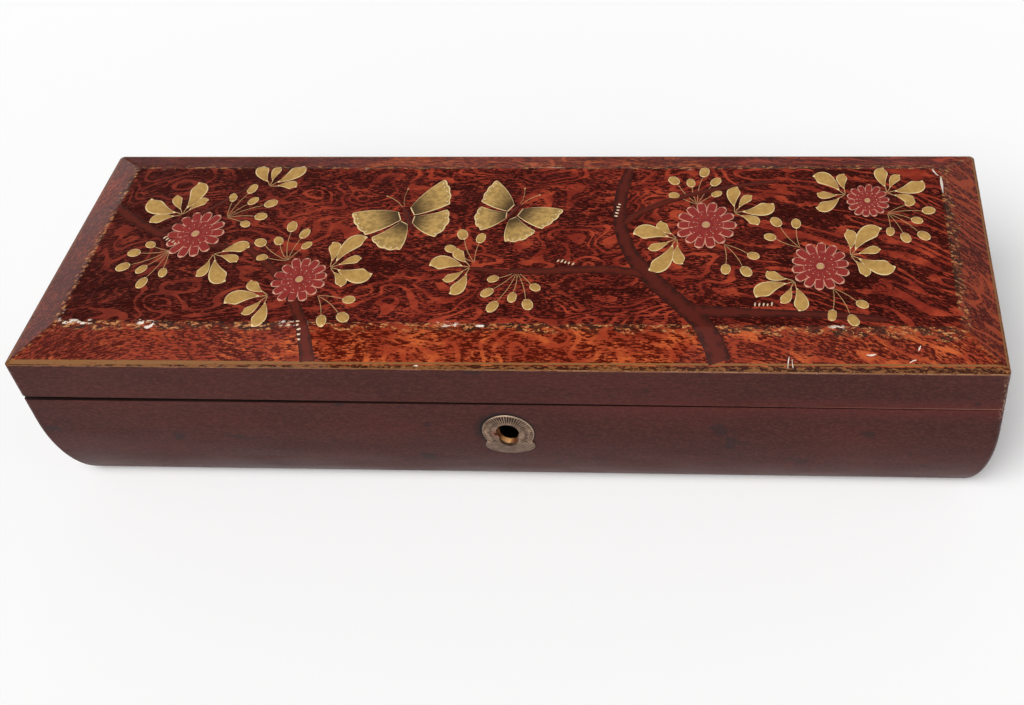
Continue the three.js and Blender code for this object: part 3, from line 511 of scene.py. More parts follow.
def stroke_paint(name, belly, rim, shade, rim_width, roughness, fade=0.6, fade_end=0.55):
    """Paint of a brush stroke. Its map runs along the stroke in U and across it in V."""
    g = Graph(name)
    node = g.tree.nodes.new("ShaderNodeUVMap")
    node.uv_map = "stroke"
    along, across, _ = g.split(node.outputs[0])
    off_middle = g.math("ABSOLUTE", g.math("SUBTRACT", g.math("MULTIPLY", across, 2.0), 1.0))
    off_end = g.math("ABSOLUTE", g.math("SUBTRACT", g.math("MULTIPLY", along, 2.0), 1.0))
    edge = g.math("MAXIMUM", off_middle, off_end)
    mottle = g.noise(g.per(1.6), 3, 0.6)
    fine = g.noise(g.per(0.35), 2)
    color = g.mix(g.step(mottle, 0.35, 0.65, 0.0, 0.4), belly, shade)
    color = g.mix(g.step(along, 0.0, fade_end, fade, 0.0), color, shade)
    color = g.mix(g.step(edge, 1.0 - rim_width, 1.0 - rim_width * 0.5), color, rim)
    color = g.mix(g.step(fine, 0.62, 0.75, 0.0, 0.35), color, paint(70, 45, 30))
    g.bump(fine, 0.02 * MM)
    return g.finish(color, roughness, specular=0.2)


def branch_paint(name, core, edge_color):
    g = Graph(name)
    node = g.tree.nodes.new("ShaderNodeUVMap")
    node.uv_map = "stroke"
    along, across, _ = g.split(node.outputs[0])
    off_middle = g.math("ABSOLUTE", g.math("SUBTRACT", g.math("MULTIPLY", across, 2.0), 1.0))
    streak = g.noise(g.per(2.6), 3, 0.6)
    soft = g.math("ADD", off_middle, g.math("MULTIPLY", g.math("SUBTRACT", streak, 0.5), 1.6))
    color = g.mix(g.step(soft, 0.2, 0.9), core, edge_color)
    g.bump(streak, 0.03 * MM)
    return g.finish(color, 0.36, specular=0.1)


SIDE = side_lacquer()
FIGURED = figured_lacquer()
INNER = inner_lacquer()
WOOD = raw_wood()
BRASS = metal("tarnished_brass", paint(186, 150, 88), paint(140, 104, 56), paint(88, 66, 40), (0.3, 0.48), 0.5)
DARK_BRASS = metal("dark_brass", paint(96, 70, 42), paint(58, 42, 28), paint(30, 22, 16), (0.45, 0.6), 0.5)
STEEL = metal("dull_steel", paint(128, 124, 118), paint(92, 88, 84), paint(84, 58, 42), (0.35, 0.5), 0.5)
ESCUTCHEON = stamped_brass()
GOLD = stroke_paint("gold_paint", paint(192, 152, 86), paint(232, 204, 150), paint(146, 106, 56), 0.24, 0.36)
PALE_GOLD = stroke_paint("pale_gold_paint", paint(190, 152, 104), paint(206, 170, 122),
                         paint(168, 128, 84), 0.2, 0.38)
WING = stroke_paint("wing_paint", paint(194, 156, 90), paint(230, 202, 148), paint(62, 44, 28), 0.1, 0.36, 0.95, 0.8)
ROSE = stroke_paint("rose_paint", paint(146, 48, 42), paint(214, 160, 134), paint(122, 36, 34), 0.24, 0.4)
TWIG = branch_paint("twig_paint", paint(92, 34, 24), paint(60, 25, 19))
BARK = branch_paint("bark_paint", paint(88, 33, 25), paint(56, 24, 19))
CREAM = stroke_paint("cream_paint", paint(222, 196, 164), paint(226, 200, 172), paint(206, 176, 140), 0.2, 0.4)
WHITE_GROUND = stroke_paint("bare_ground", paint(228, 216, 204), paint(196, 170, 150), paint(204, 190, 176), 0.3, 0.7)


# Mesh helpers

def make_piece(name, mesh, materials, body, replaced=()):
    """Turns a bmesh into an object that rides on a body and stands for the nodes it replaces."""
    data = bpy.data.meshes.new(name)
    bmesh.ops.recalc_face_normals(mesh, faces=mesh.faces)
    mesh.to_mesh(data)
    mesh.free()
    for material in materials:
        data.materials.append(material)
    piece = bpy.data.objects.new(name, data)
    bpy.context.scene.collection.objects.link(piece)
    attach(piece, body)
    if replaced:
        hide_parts(*replaced)
    return piece


def smooth(piece, angle=35):
    """Smooth shading with creases at sharp edges, and flat faces kept flat."""
    data = piece.data
    data.polygons.foreach_set("use_smooth", [True] * len(data.polygons))
    data.set_sharp_from_angle(angle=math.radians(angle))
    weighted = piece.modifiers.new("weighted", "WEIGHTED_NORMAL")
    weighted.keep_sharp = True
    weighted.weight = 80


def rounded(points):
    """A path of (inset, height, fillet radius), with each corner drawn as a small arc."""
    path = []
    for i, (inset, z, radius) in enumerate(points):
        corner = Vector((inset, z))
        if radius == 0 or i in (0, len(points) - 1):
            path.append(corner)
            continue
        back = Vector(points[i - 1][:2]) - corner
        ahead = Vector(points[i + 1][:2]) - corner
        reach = radius / math.tan(back.angle(ahead) / 2)
        start = corner + back.normalized() * min(reach, back.length * 0.49)
        end = corner + ahead.normalized() * min(reach, ahead.length * 0.49)
        for step in range(FILLET_STEPS + 1):
            t = step / FILLET_STEPS
            path.append(start * (1 - t) ** 2 + corner * 2 * t * (1 - t) + end * t**2)
    return path


def ring_at(inset, z, radius):
    """A rectangle with rounded corners round the box, drawn in from its sides by the inset."""
    half_x, half_y = HALF_LENGTH - inset, HALF_DEPTH - inset
    points = []
    for corner, (sign_x, sign_y) in enumerate([(1, -1), (1, 1), (-1, 1), (-1, -1)]):
        centre_x, centre_y = sign_x * (half_x - radius), sign_y * (half_y - radius)
        for step in range(CORNER_STEPS + 1):
            angle = math.radians(90 * (corner - 1 + step / CORNER_STEPS))
            points.append((centre_x + radius * math.cos(angle), centre_y + radius * math.sin(angle), z))
    return points


def shell(path, corner_radius, material_index):
    """A closed shell from a section path, with a flat face over its first ring and its last."""
    mesh = bmesh.new()
    rings = [
        [mesh.verts.new(point) for point in ring_at(inset, z, corner_radius(inset, z))]
        for inset, z in path
    ]
    for (first, second), start, end in zip(zip(rings, rings[1:]), path, path[1:]):
        for i in range(len(first)):
            j = (i + 1) % len(first)
            face = mesh.faces.new((first[i], first[j], second[j], second[i]))
            face.material_index = material_index((start + end) / 2)
    for ring, place in ((rings[0], path[0]), (rings[-1], path[-1])):
        face = mesh.faces.new(ring)
        face.material_index = material_index(place)
    return mesh


def box_cutter(low, high, material_index):
    mesh = bmesh.new()
    size = Vector(high) - Vector(low)
    middle = (Vector(high) + Vector(low)) / 2
    bmesh.ops.create_cube(mesh, size=1, matrix=Matrix.Translation(middle) @ Matrix.Diagonal((*size, 1)))
    return cutter_from(mesh, material_index)


def prism_cutter(outline, axis, start, end, material_index):
    """A cutter with a flat outline, drawn out along X or Y from start to end."""
    mesh = bmesh.new()
    place = {"X": lambda a, b, c: (c, a, b), "Y": lambda a, b, c: (a, c, b)}[axis]
    first = [mesh.verts.new(place(a, b, start)) for a, b in outline]
    second = [mesh.verts.new(place(a, b, end)) for a, b in outline]
    mesh.faces.new(first)
    mesh.faces.new(second)
    for i in range(len(outline)):
        j = (i + 1) % len(outline)
        mesh.faces.new((first[i], first[j], second[j], second[i]))
    return cutter_from(mesh, material_index)


def cutter_from(mesh, material_index):
    bmesh.ops.recalc_face_normals(mesh, faces=mesh.faces)
    for face in mesh.faces:
        face.material_index = material_index
    data = bpy.data.meshes.new("cutter")
    mesh.to_mesh(data)
    mesh.free()
    cutter = bpy.data.objects.new("cutter", data)
    bpy.context.scene.collection.objects.link(cutter)
    return cutter


def cut(piece, cutters):
    """Takes the cutters out of the piece. The cut faces get the cutters' material number."""
    for cutter in cutters:
        for material in piece.data.materials:
            cutter.data.materials.append(material)
        modifier = piece.modifiers.new("cut", "BOOLEAN")
        modifier.operation = "DIFFERENCE"
        modifier.solver = "EXACT"
        modifier.material_mode = "INDEX"
        modifier.object = cutter
    bpy.context.view_layer.update()
    graph = bpy.context.evaluated_depsgraph_get()
    result = bpy.data.meshes.new_from_object(piece.evaluated_get(graph))
    piece.modifiers.clear()
    old = piece.data
    result.name = old.name
    piece.data = result
    bpy.data.meshes.remove(old)
    for cutter in cutters:
        data = cutter.data
        bpy.data.objects.remove(cutter)
        bpy.data.meshes.remove(data)


# What is cut into the base and the lid, with 0 as the outer lacquer and 2 as raw wood

OUTER, INSIDE, RAW = 0, 1, 2
PAST = 2 * MM
KEYHOLE_SIDES = 48


def circle_points(centre, radius, from_degrees, to_degrees, steps):
    return [
        (centre[0] + radius * math.cos(math.radians(angle)), centre[1] + radius * math.sin(math.radians(angle)))
        for angle in [from_degrees + (to_degrees - from_degrees) * i / steps for i in range(steps + 1)]
    ]


KEYHOLE_TOP = (0.0, KEYHOLE_Z + 0.7 * MM)
KEYHOLE_FOOT = (0.0, KEYHOLE_Z - 2.7 * MM)
KEYHOLE_TOP_RADIUS = 3.6 * MM
KEYHOLE_FOOT_RADIUS = 3.0 * MM


def keyhole_outline(margin=0.0):
    """The keyhole seen from the front: a round head over a round foot."""
    top, foot = KEYHOLE_TOP_RADIUS + margin, KEYHOLE_FOOT_RADIUS + margin
    apart = KEYHOLE_TOP[1] - KEYHOLE_FOOT[1]
    up = (apart**2 + foot**2 - top**2) / (2 * apart)
    across = math.sqrt(foot**2 - up**2)
    top_angle = math.degrees(math.atan2(up - apart, across))
    foot_angle = math.degrees(math.atan2(up, across))
    head = circle_points(KEYHOLE_TOP, top, top_angle, 180 - top_angle, KEYHOLE_SIDES // 2)
    return head + circle_points(KEYHOLE_FOOT, foot, 180 - foot_angle, 360 + foot_angle, KEYHOLE_SIDES // 2)[1:-1]


def planed_edge():
    """The wedge planed off the back edges, from the hinge line outwards."""
    reach = HALF_DEPTH - HINGE_Y + PAST
    rise = reach * math.tan(math.radians(50))
    outline = [(HINGE_Y, SEAM_Z), (HINGE_Y + reach, SEAM_Z - rise), (HINGE_Y + reach, SEAM_Z + rise)]
    return prism_cutter(outline, "X", -HALF_LENGTH - PAST, HALF_LENGTH + PAST, OUTER)


def hinge_recesses(leaf_name):
    """Room for both hinges: the leaf's bed and a round groove for the barrel."""
    margin = 0.2 * MM
    cutters = []
    for side in ("left", "right"):
        low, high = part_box(f"{side}_hinge_{leaf_name}")
        barrel = (high.z - low.z) / 2
        bed_low, bed_high = (BASE_TOP - 0.7 * MM, BASE_TOP + PAST)
        if leaf_name == "lid_leaf":
            bed_low, bed_high = (LID_BOTTOM - PAST, LID_BOTTOM + 0.7 * MM)
        cutters.append(box_cutter((low.x - margin, low.y - margin, bed_low),
                                  (high.x + margin, HINGE_Y, bed_high), RAW))
        groove = circle_points((HINGE_Y, SEAM_Z), barrel + 0.3 * MM, 0, 360, 32)[:-1]
        cutters.append(prism_cutter(groove, "X", low.x - margin, high.x + margin, RAW))
    return cutters


def lock_room():
    """The hole for the key, the room for the lock's cap and the bed of its plate's flange."""
    margin = 0.2 * MM
    cap_low, cap_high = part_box("lock_cap")
    plate_low, plate_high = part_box("lock_plate")
    inside_y = -HALF_DEPTH + WALL
    keyhole = prism_cutter(keyhole_outline(0.3 * MM), "Y", -HALF_DEPTH - PAST, cap_low.y + PAST, RAW)
    cap = box_cutter((cap_low.x - margin, cap_low.y - margin, cap_low.z - margin),
                     (cap_high.x + margin, inside_y + PAST, BASE_TOP + PAST), RAW)
    flange = box_cutter((plate_low.x - margin, plate_low.y - margin, BASE_TOP - 0.7 * MM),
                        (plate_high.x + margin, inside_y + PAST, BASE_TOP + PAST), RAW)
    return [keyhole, cap, flange]


def strike_bed():
    margin = 0.2 * MM
    low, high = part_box("strike_plate")
    return box_cutter((low.x - margin, low.y - margin, LID_BOTTOM - PAST),
                      (high.x + margin, high.y + PAST, LID_BOTTOM + 0.7 * MM), RAW)


def make_base():
    """Walls and bottom board under one skin of lacquer."""
    drop = BASE_TOP - STRAIGHT
    curve = []
    for step in range(CURVE_STEPS + 1):
        angle = math.pi / 2 * (1 - step / CURVE_STEPS)
        curve.append((CURVE_IN * (1 - math.cos(angle)), drop * (1 - math.sin(angle)), 0))
    corners = [(0, BASE_TOP, 0.25 * MM), (WALL, BASE_TOP, 0.3 * MM), (WALL, FLOOR_TOP, 0.8 * MM),
               (WALL + 3 * MM, FLOOR_TOP, 0)]
    path = rounded(curve + corners)
    inner_from = WALL - 0.35 * MM

    def material_at(place):
        on_rim = place[0] > 0.5 * MM and place[1] > BASE_TOP - 0.01 * MM
        on_inside = place[0] > inner_from and place[1] > FLOOR_TOP / 2
        return INSIDE if on_rim or on_inside else OUTER

    def corner_at(inset, z):
        return INNER_CORNER if inset > inner_from and z > FLOOR_TOP / 2 else PLAN_CORNER

    mesh = shell(path, corner_at, material_at)
    base = make_piece("base_body", mesh, [SIDE, INNER, WOOD], "base",
                      ["base_front_wall", "base_back_wall", "base_left_wall", "base_right_wall",
                       "base_bottom_board"])
    cut(base, [planed_edge(), *hinge_recesses("base_leaf"), *lock_room()])
    smooth(base)
    return base


def make_lid():
    """Rails and top board under one skin: plain sides, a figured bevel and panel, a dark inside."""
    path = rounded([
        (WALL + 3 * MM, RAIL_TOP, 0),
        (WALL, RAIL_TOP, 0.8 * MM),
        (WALL, LID_BOTTOM, 0.3 * MM),
        (0, LID_BOTTOM, 0.25 * MM),
        (0, ARRIS_Z, 0.5 * MM),
        (BEVEL_WIDTH, PANEL_Z, 1.2 * MM),
        (BEVEL_WIDTH + 2 * MM, PANEL_Z, 0),
    ])
    figured_index = 3

    def material_at(place):
        if place[1] > ARRIS_Z - 0.05 * MM:
            return figured_index
        on_rim = place[0] > 0.5 * MM and place[1] < LID_BOTTOM + 0.01 * MM
        return INSIDE if on_rim or place[0] > WALL - 0.35 * MM else OUTER

    def corner_at(inset, z):
        if z > ARRIS_Z:
            share = (z - ARRIS_Z) / BEVEL_RISE
            return PLAN_CORNER + (PANEL_CORNER - PLAN_CORNER) * share
        return INNER_CORNER if inset > WALL - 0.35 * MM else PLAN_CORNER

    mesh = shell(path, corner_at, material_at)
    for vertex in mesh.verts:
        if vertex.co.z < LID_BOTTOM + 1 * MM:
            across = max(0.0, (WARP_END - vertex.co.x) / (HALF_LENGTH + WARP_END))
            forward = max(0.0, -vertex.co.y / HALF_DEPTH)
            vertex.co.z += WARP * across**2 * forward**2
    lid = make_piece("lid_body", mesh, [SIDE, INNER, WOOD, FIGURED], "lid",
                     ["lid_top_board", "lid_front_rail", "lid_back_rail", "lid_left_rail",
                      "lid_right_rail"])
    cut(lid, [planed_edge(), *hinge_recesses("lid_leaf"), strike_bed()])
    smooth(lid, 12)
    return lid


# Painted decoration on the lid

MOTIF_STRETCH = 1.16


def lid_height(x, y):
    """The lid's top surface over a point."""
    inward = min(HALF_LENGTH - abs(x), HALF_DEPTH - abs(y))
    return ARRIS_Z + BEVEL_RISE * min(1.0, inward / BEVEL_WIDTH)


class Layer:
    """Brush strokes of one paint, joined into one thin relief that follows the lid. Millimetres."""

    def __init__(self, lift):
        self.mesh = bmesh.new()
        self.map = self.mesh.loops.layers.uv.new("stroke")
        self.lift = lift

    def patch(self, point_at, along_steps, across_steps, crown=0.06):
        """A closed, slightly crowned patch. point_at(along, across) gives its plan, both from 0 to 1."""
        rows = []
        for i in range(along_steps + 1):
            row = []
            for j in range(across_steps + 1):
                along, across = i / along_steps, j / across_steps
                x, y = point_at(along, across)
                rim = i in (0, along_steps) or j in (0, across_steps)
                swell = math.sin(math.pi * across) * math.sin(math.pi * along) ** 0.5
                lift = -0.03 if rim else self.lift + crown * swell
                z = lid_height(x * MM, y * MM) + lift * MM
                row.append((self.mesh.verts.new((x * MM, y * MM, z)), (along, across)))
            rows.append(row)
        for first, second in zip(rows, rows[1:]):
            for a, b, c, d in zip(first, first[1:], second[1:], second):
                face = self.mesh.faces.new([corner[0] for corner in (a, b, c, d)])
                for loop, corner in zip(face.loops, (a, b, c, d)):
                    loop[self.map].uv = corner[1]
        rim = ([row[0][0] for row in rows] + [v for v, _ in rows[-1][1:]]
               + [row[-1][0] for row in rows[-2::-1]] + [v for v, _ in rows[0][-2:0:-1]])
        self.mesh.faces.new(rim[::-1])

    def stroke(self, spine, width_at, across_steps=4, along_steps=10, crown=0.06):
        """A stroke along a Bezier spine of any degree, as wide as width_at(along)."""
        def point_at(along, across):
            place, heading = bezier(spine, along)
            side = Vector((-heading.y, heading.x * MOTIF_STRETCH)) * (across - 0.5) * max(width_at(along), 0.04)
            return place + side
        self.patch(point_at, along_steps, across_steps, crown)

    def make(self, name, material):
        return make_piece(name, self.mesh, [material], "lid")


def bezier(points, t):
    """A point on the curve and the unit direction there."""
    level = [Vector(point) for point in points]
    while len(level) > 2:
        level = [a.lerp(b, t) for a, b in zip(level, level[1:])]
    heading = level[1] - level[0]
    return level[0].lerp(level[1], t), heading.normalized()


def turned(length, degrees):
    """A step over the lid. The motifs are drawn a little longer from front to back."""
    angle = math.radians(degrees)
    return Vector((length * math.cos(angle), MOTIF_STRETCH * length * math.sin(angle)))


def teardrop(width, belly=0.62):
    """Widths of a leaf: a thin stalk, a round belly and a pointed tip."""
    def width_at(along):
        share = along ** (math.log(0.5) / math.log(belly))
        return width * math.sin(math.pi * share) ** (0.75 + 0.65 * share)
    return width_at


def oval(width):
    return lambda along: width * math.sqrt(max(0.0, 1 - (2 * along - 1) ** 2))


def even(width):
    return lambda along: width * min(1.0, 6 * along + 0.3, 6 * (1 - along) + 0.3)


class Decoration:
    """Sprays of leaves, buds, rosette flowers and butterflies, in gold and dull rose."""

    def __init__(self):
        self.bark = Layer(0.02)
        self.twig = Layer(0.03)
        self.stem = Layer(0.04)
        self.gold = Layer(0.06)
        self.wings = Layer(0.07)
        self.rose = Layer(0.09)
        self.inner_rose = Layer(0.15)
        self.pale = Layer(0.12)
        self.cream = Layer(0.18)
        self.bodies = Layer(0.16)
        self.ground = Layer(0.01)
        self.random = random.Random(11)

    def leaf(self, foot, degrees, length, width, bend=0.0):
        spine = [foot, foot + turned(length * 0.35, degrees) + turned(bend, degrees + 90),
                 foot + turned(length * 0.85, degrees) + turned(bend, degrees + 90),
                 foot + turned(length, degrees) - turned(bend, degrees + 90)]
        self.gold.stroke(spine, teardrop(width), 8, 18, 0.08)

    def leaf_fan(self, x, y, degrees, leaves):
        """Leaves from one point. Each is (angle off the fan's own, length, width, bend)."""
        foot = Vector((x, y))
        for off, length, width, bend in leaves:
            start = foot + turned(2.4, degrees + off)
            self.stem.stroke([foot, start + turned(0.6, degrees + off)], even(0.4), 2, 6, 0.02)
            self.leaf(start, degrees + off, length, width, bend)

    def buds(self, x, y, degrees, buds):
        """Buds on thin stems from one point. Each is (angle off, length of stem, size)."""
        foot = Vector((x, y))
        for off, length, size in buds:
            tip = foot + turned(length, degrees + off)
            middle = foot.lerp(tip, 0.55) + turned(length * 0.12, degrees + 90)
            self.stem.stroke([foot, middle, tip], even(0.3), 2, 12, 0.02)
            heading = degrees + off * 1.2
            self.gold.stroke([tip - turned(0.3, heading), tip + turned(size * 1.25, heading)],
                             oval(size), 8, 10, 0.1)

    def flower(self, x, y, radius, start=0.0):
        """A rosette of narrow petals in two rings round a button."""
        middle = Vector((x, y))
        for layer, count, inner, outer, width in (
            (self.rose, 14, 0.16, 1.0, 0.4), (self.inner_rose, 10, 0.08, 0.62, 0.34)):
            for i in range(count):
                degrees = start + 360 * i / count
                tip = radius * outer * self.random.uniform(0.95, 1.04)

                def width_at(along, reach=width * radius):
                    rounding = max(0.0, along - 0.62) / 0.38
                    return reach * (0.42 + 0.62 * along) * math.sqrt(max(0.0, 1 - rounding**2))

                layer.stroke([middle + turned(radius * inner, degrees), middle + turned(tip, degrees)],
                             width_at, 8, 12, 0.05)
        half = Vector((radius * 0.14, 0))
        self.pale.stroke([middle - half, middle + half], oval(radius * 0.28), 6, 8, 0.12)
        for i in range(13):
            heading = start + 360 * i / 13
            reach = self.random.uniform(0.36, 0.5)
            foot, tip = middle + turned(radius * 0.16, heading), middle + turned(radius * reach, heading)
            self.cream.stroke([foot, tip], even(0.22), 2, 3, 0.03)
            dot = turned(0.26, heading)
            self.cream.stroke([tip - dot, tip + dot], oval(0.5), 4, 4, 0.04)

    def wing(self, root, size, to_plan, lead, trail, bulge):
        """A wing between two curves from its root, with veins and pale dots near its rounded margin."""
        lead_spine, trail_spine = ([to_plan(*point) for point in spine] for spine in (lead, trail))

        def point_at(along, across):
            reach = 0.1 + 0.9 * along
            place = bezier(lead_spine, reach)[0].lerp(bezier(trail_spine, reach)[0], across)
            scallop = 0.03 * abs(math.sin(3.5 * math.pi * across))
            outward = (bulge * math.sin(math.pi * across) + scallop) * reach**4 * size
            return place + (place - root).normalized() * outward

        self.wings.patch(point_at, 24, 28, 0.03)
        for across in (0.2, 0.4, 0.6, 0.8):
            spine = [point_at(along, across) for along in (0.25, 0.55, 0.82)]
            self.pale.stroke(spine, even(0.26), 2, 12, 0.02)
        for across in (0.14, 0.3, 0.5, 0.7, 0.86):
            dot = turned(0.34, 0)
            place = point_at(0.92, across)
            self.cream.stroke([place - dot, place + dot], oval(0.6), 4, 4, 0.03)

    def butterfly(self, x, y, degrees, size):
        """Two pairs of wings shaded dark towards a slim body, with veins and feelers."""
        middle = Vector((x, y))
        for side in (-1, 1):
            def to_plan(forward, out, side=side):
                return middle + turned(forward * size, degrees) + turned(out * size, degrees + side * 90)
            self.wing(middle, size, to_plan, [(-0.04, 0.03), (-0.22, 0.5), (-0.2, 0.78)],
                      [(-0.12, 0.02), (-0.62, 0.12), (-0.78, 0.34)], 0.16)
            self.wing(middle, size, to_plan, [(0.1, 0.03), (0.5, 0.42), (0.62, 0.98)],
                      [(-0.02, 0.03), (-0.16, 0.5), (-0.1, 0.86)], 0.08)
            feeler = [to_plan(*point) for point in ((0.26, 0.02), (0.5, 0.04), (0.72, 0.22))]
            self.pale.stroke(feeler, even(0.24), 2, 10, 0.02)
            dot = turned(0.35, degrees)
            self.pale.stroke([feeler[-1] - dot, feeler[-1] + dot], oval(0.7), 4, 4, 0.04)
        self.bodies.stroke([middle - turned(size * 0.5, degrees), middle + turned(size * 0.28, degrees)],
                           teardrop(size * 0.13, 0.66), 8, 16, 0.3)

    def branch(self, layer, spine, start_width, end_width, steps=60):
        """A wooden stem that thins towards its end, with a slightly uneven edge."""
        knots = [self.random.uniform(0.86, 1.12) for _ in range(9)]

        def width_at(along):
            place = along * (len(knots) - 1)
            first = min(int(place), len(knots) - 2)
            uneven = knots[first] + (knots[first + 1] - knots[first]) * (place - first)
            taper = min(1.0, 12 * (1 - along) + 0.35)
            return (start_width + (end_width - start_width) * along) * uneven * taper
        layer.stroke(spine, width_at, 8, steps, 0.05)

    def ticks(self, x, y, degrees, count):
        """A row of short pale marks beside a branch."""
        for i in range(count):
            foot = Vector((x, y)) + turned(1.25 * i, degrees)
            lean = degrees + 78 + self.random.uniform(-8, 8)
            self.cream.stroke([foot, foot + turned(self.random.uniform(1.0, 1.7), lean)], oval(0.6), 4, 4, 0.04)

    def chip(self, x, y, length, width, degrees=0.0):
        """A place where the lacquer has come off and the white ground shows."""
        half = turned(length / 2, degrees)
        middle = Vector((x, y))
        bumps = [self.random.uniform(0.35, 1.0) for _ in range(7)]

        def width_at(along):
            place = along * (len(bumps) - 1)
            first = min(int(place), len(bumps) - 2)
            uneven = bumps[first] + (bumps[first + 1] - bumps[first]) * (place - first)
            return width * uneven * math.sin(math.pi * along) ** 0.5
        bow = middle + turned(width * self.random.uniform(-0.8, 0.8), degrees + 90)
        self.ground.stroke([middle - half, bow, middle + half], width_at, 4, 16, 0.01)

    def make(self):
        for layer, name, material in (
            (self.bark, "painted_branches", BARK), (self.twig, "painted_twigs", TWIG),
            (self.stem, "painted_stems", PALE_GOLD), (self.gold, "gold_leaves_and_buds", GOLD),
            (self.wings, "gold_wings", WING), (self.bodies, "butterfly_bodies", TWIG),
            (self.rose, "rose_outer_petals", ROSE),
            (self.inner_rose, "rose_inner_petals", ROSE), (self.pale, "pale_gold_marks", PALE_GOLD),
            (self.cream, "cream_marks", CREAM), (self.ground, "bare_ground_chips", WHITE_GROUND)):
            smooth(layer.make(name, material), 60)


WIDE_FAN = [(-80, 6.8, 3.8, 0.8), (-44, 11.8, 6.2, -1.4), (-6, 7.4, 3.4, 0.4), (30, 12.6, 6.0, 1.7),
            (68, 8.0, 4.2, -0.8)]
SMALL_FAN = [(-60, 6.8, 3.8, 0.8), (-17, 10.8, 5.8, -1.3), (25, 6.8, 3.4, 0.6), (60, 8.8, 4.8, 1.0)]
BUNCH = [(-58, 6.0, 2.8), (-36, 9.4, 3.3), (-14, 12.2, 3.5), (8, 8.0, 3.0), (30, 11.4, 3.4), (54, 7.2, 2.9)]
TRIO = [(-28, 8.0, 3.2), (0, 10.8, 3.5), (29, 8.6, 3.1)]
PAIR = [(-18, 7.0, 2.8), (20, 8.8, 3.0)]


def paint_left_spray(art):
    art.branch(art.twig, [(-141, 20), (-122, 2), (-104, -6), (-84, -2)], 3.6, 1.8)
    art.branch(art.twig, [(-118, 4), (-104, 14), (-92, 30)], 2.4, 1.2)
    art.branch(art.twig, [(-57, -48.2), (-60, -32), (-74, -12), (-88, -3)], 4.8, 2.6)
    art.flower(-106, 3, 9.6, 4)
    art.leaf_fan(-113.5, 12.5, 128, WIDE_FAN)
    art.leaf_fan(-97, -6.5, 318, SMALL_FAN)
    art.buds(-112, -5, 222, BUNCH)
    art.buds(-98, 11, 40, BUNCH)
    art.flower(-66, -18, 9.0, 12)
    art.leaf_fan(-57.5, -12.5, 30, WIDE_FAN)
    art.leaf_fan(-74, -25, 206, SMALL_FAN)
    art.buds(-72, -9.5, 116, BUNCH)
    art.buds(-58.5, -25, 322, TRIO)
    art.leaf_fan(-88, 27, 62, SMALL_FAN)
    art.ticks(-116, 0.5, -28, 5)
    art.ticks(-62.5, -36, -72, 5)


def paint_middle(art):
    art.branch(art.twig, [(44, -16), (26, -8), (8, -18), (-14, -12)], 3.8, 1.8)
    art.leaf_fan(-13, -12, 190, SMALL_FAN)
    art.buds(-12, -10, 118, TRIO)
    art.buds(2, -14, 262, BUNCH)
    art.ticks(14, -9.5, -14, 5)
    art.butterfly(-38, 12, 118, 16)
    art.butterfly(-3, 14, 62, 14)


def paint_right_spray(art):
    art.branch(art.bark, [(66, -47.4), (60, -26), (36, -18), (26, 4), (34, 38)], 8.0, 4.0, 160)
    art.branch(art.bark, [(54, -30), (74, -32), (92, -30), (116, -34)], 4.6, 2.2)
    art.branch(art.twig, [(33, 8), (44, 22), (62, 26), (84, 30)], 3.0, 1.6)
    art.ticks(31.5, 12, 84, 5)
    art.ticks(76, -28.5, 2, 5)
    art.flower(60, 8, 9.8, 0)
    art.leaf_fan(69, 14, 30, SMALL_FAN)
    art.leaf_fan(51, 1.5, 212, WIDE_FAN)
    art.buds(57, 18, 98, BUNCH)
    art.buds(66, -1, 304, TRIO)
    art.flower(96, -11, 9.4, 9)
    art.leaf_fan(105.5, -6, 22, WIDE_FAN)
    art.leaf_fan(88, -17.5, 220, SMALL_FAN)
    art.buds(99.5, -20.5, 296, TRIO)
    art.buds(90, -2.5, 126, TRIO)
    art.flower(112, 20, 7.2, 5)
    art.leaf_fan(118.5, 24, 36, SMALL_FAN)
    art.leaf_fan(105, 23, 154, SMALL_FAN)
    art.buds(118, 14, 334, BUNCH)


def wear_lid(art):
    """The larger places where the white ground shows."""
    for x, y, length, width, degrees in ((86, -47.0, 3.4, 0.5, 82), (87.2, -47.3, 2.6, 0.5, 98),
                                         (8, 36.9, 7, 0.6, 0), (136.7, 28, 8, 1.5, 90), (-6, -37.2, 3, 1.4, 0),
                                         (135.2, 34.5, 4, 1.0, 120), (-107.5, -37.4, 3.2, 1.8, 20),
                                         (110, -44.4, 3.2, 0.8, 4), (124, -42.6, 1.8, 0.7, 60),
                                         (122, -46.4, 2.4, 0.6, 200), (-24, -48.9, 1.6, 0.7, 0)):
        art.chip(x, y, length, width, degrees)


def paint_lid():
    art = Decoration()
    paint_left_spray(art)
    paint_middle(art)
    paint_right_spray(art)
    wear_lid(art)
    art.make()


# Hardware

NICK_ANGLE, NICK_HALF_ANGLE, NICK_DEPTH = 14, 8, 0.8 * MM
EAR_ROUNDING = 1.3 * MM


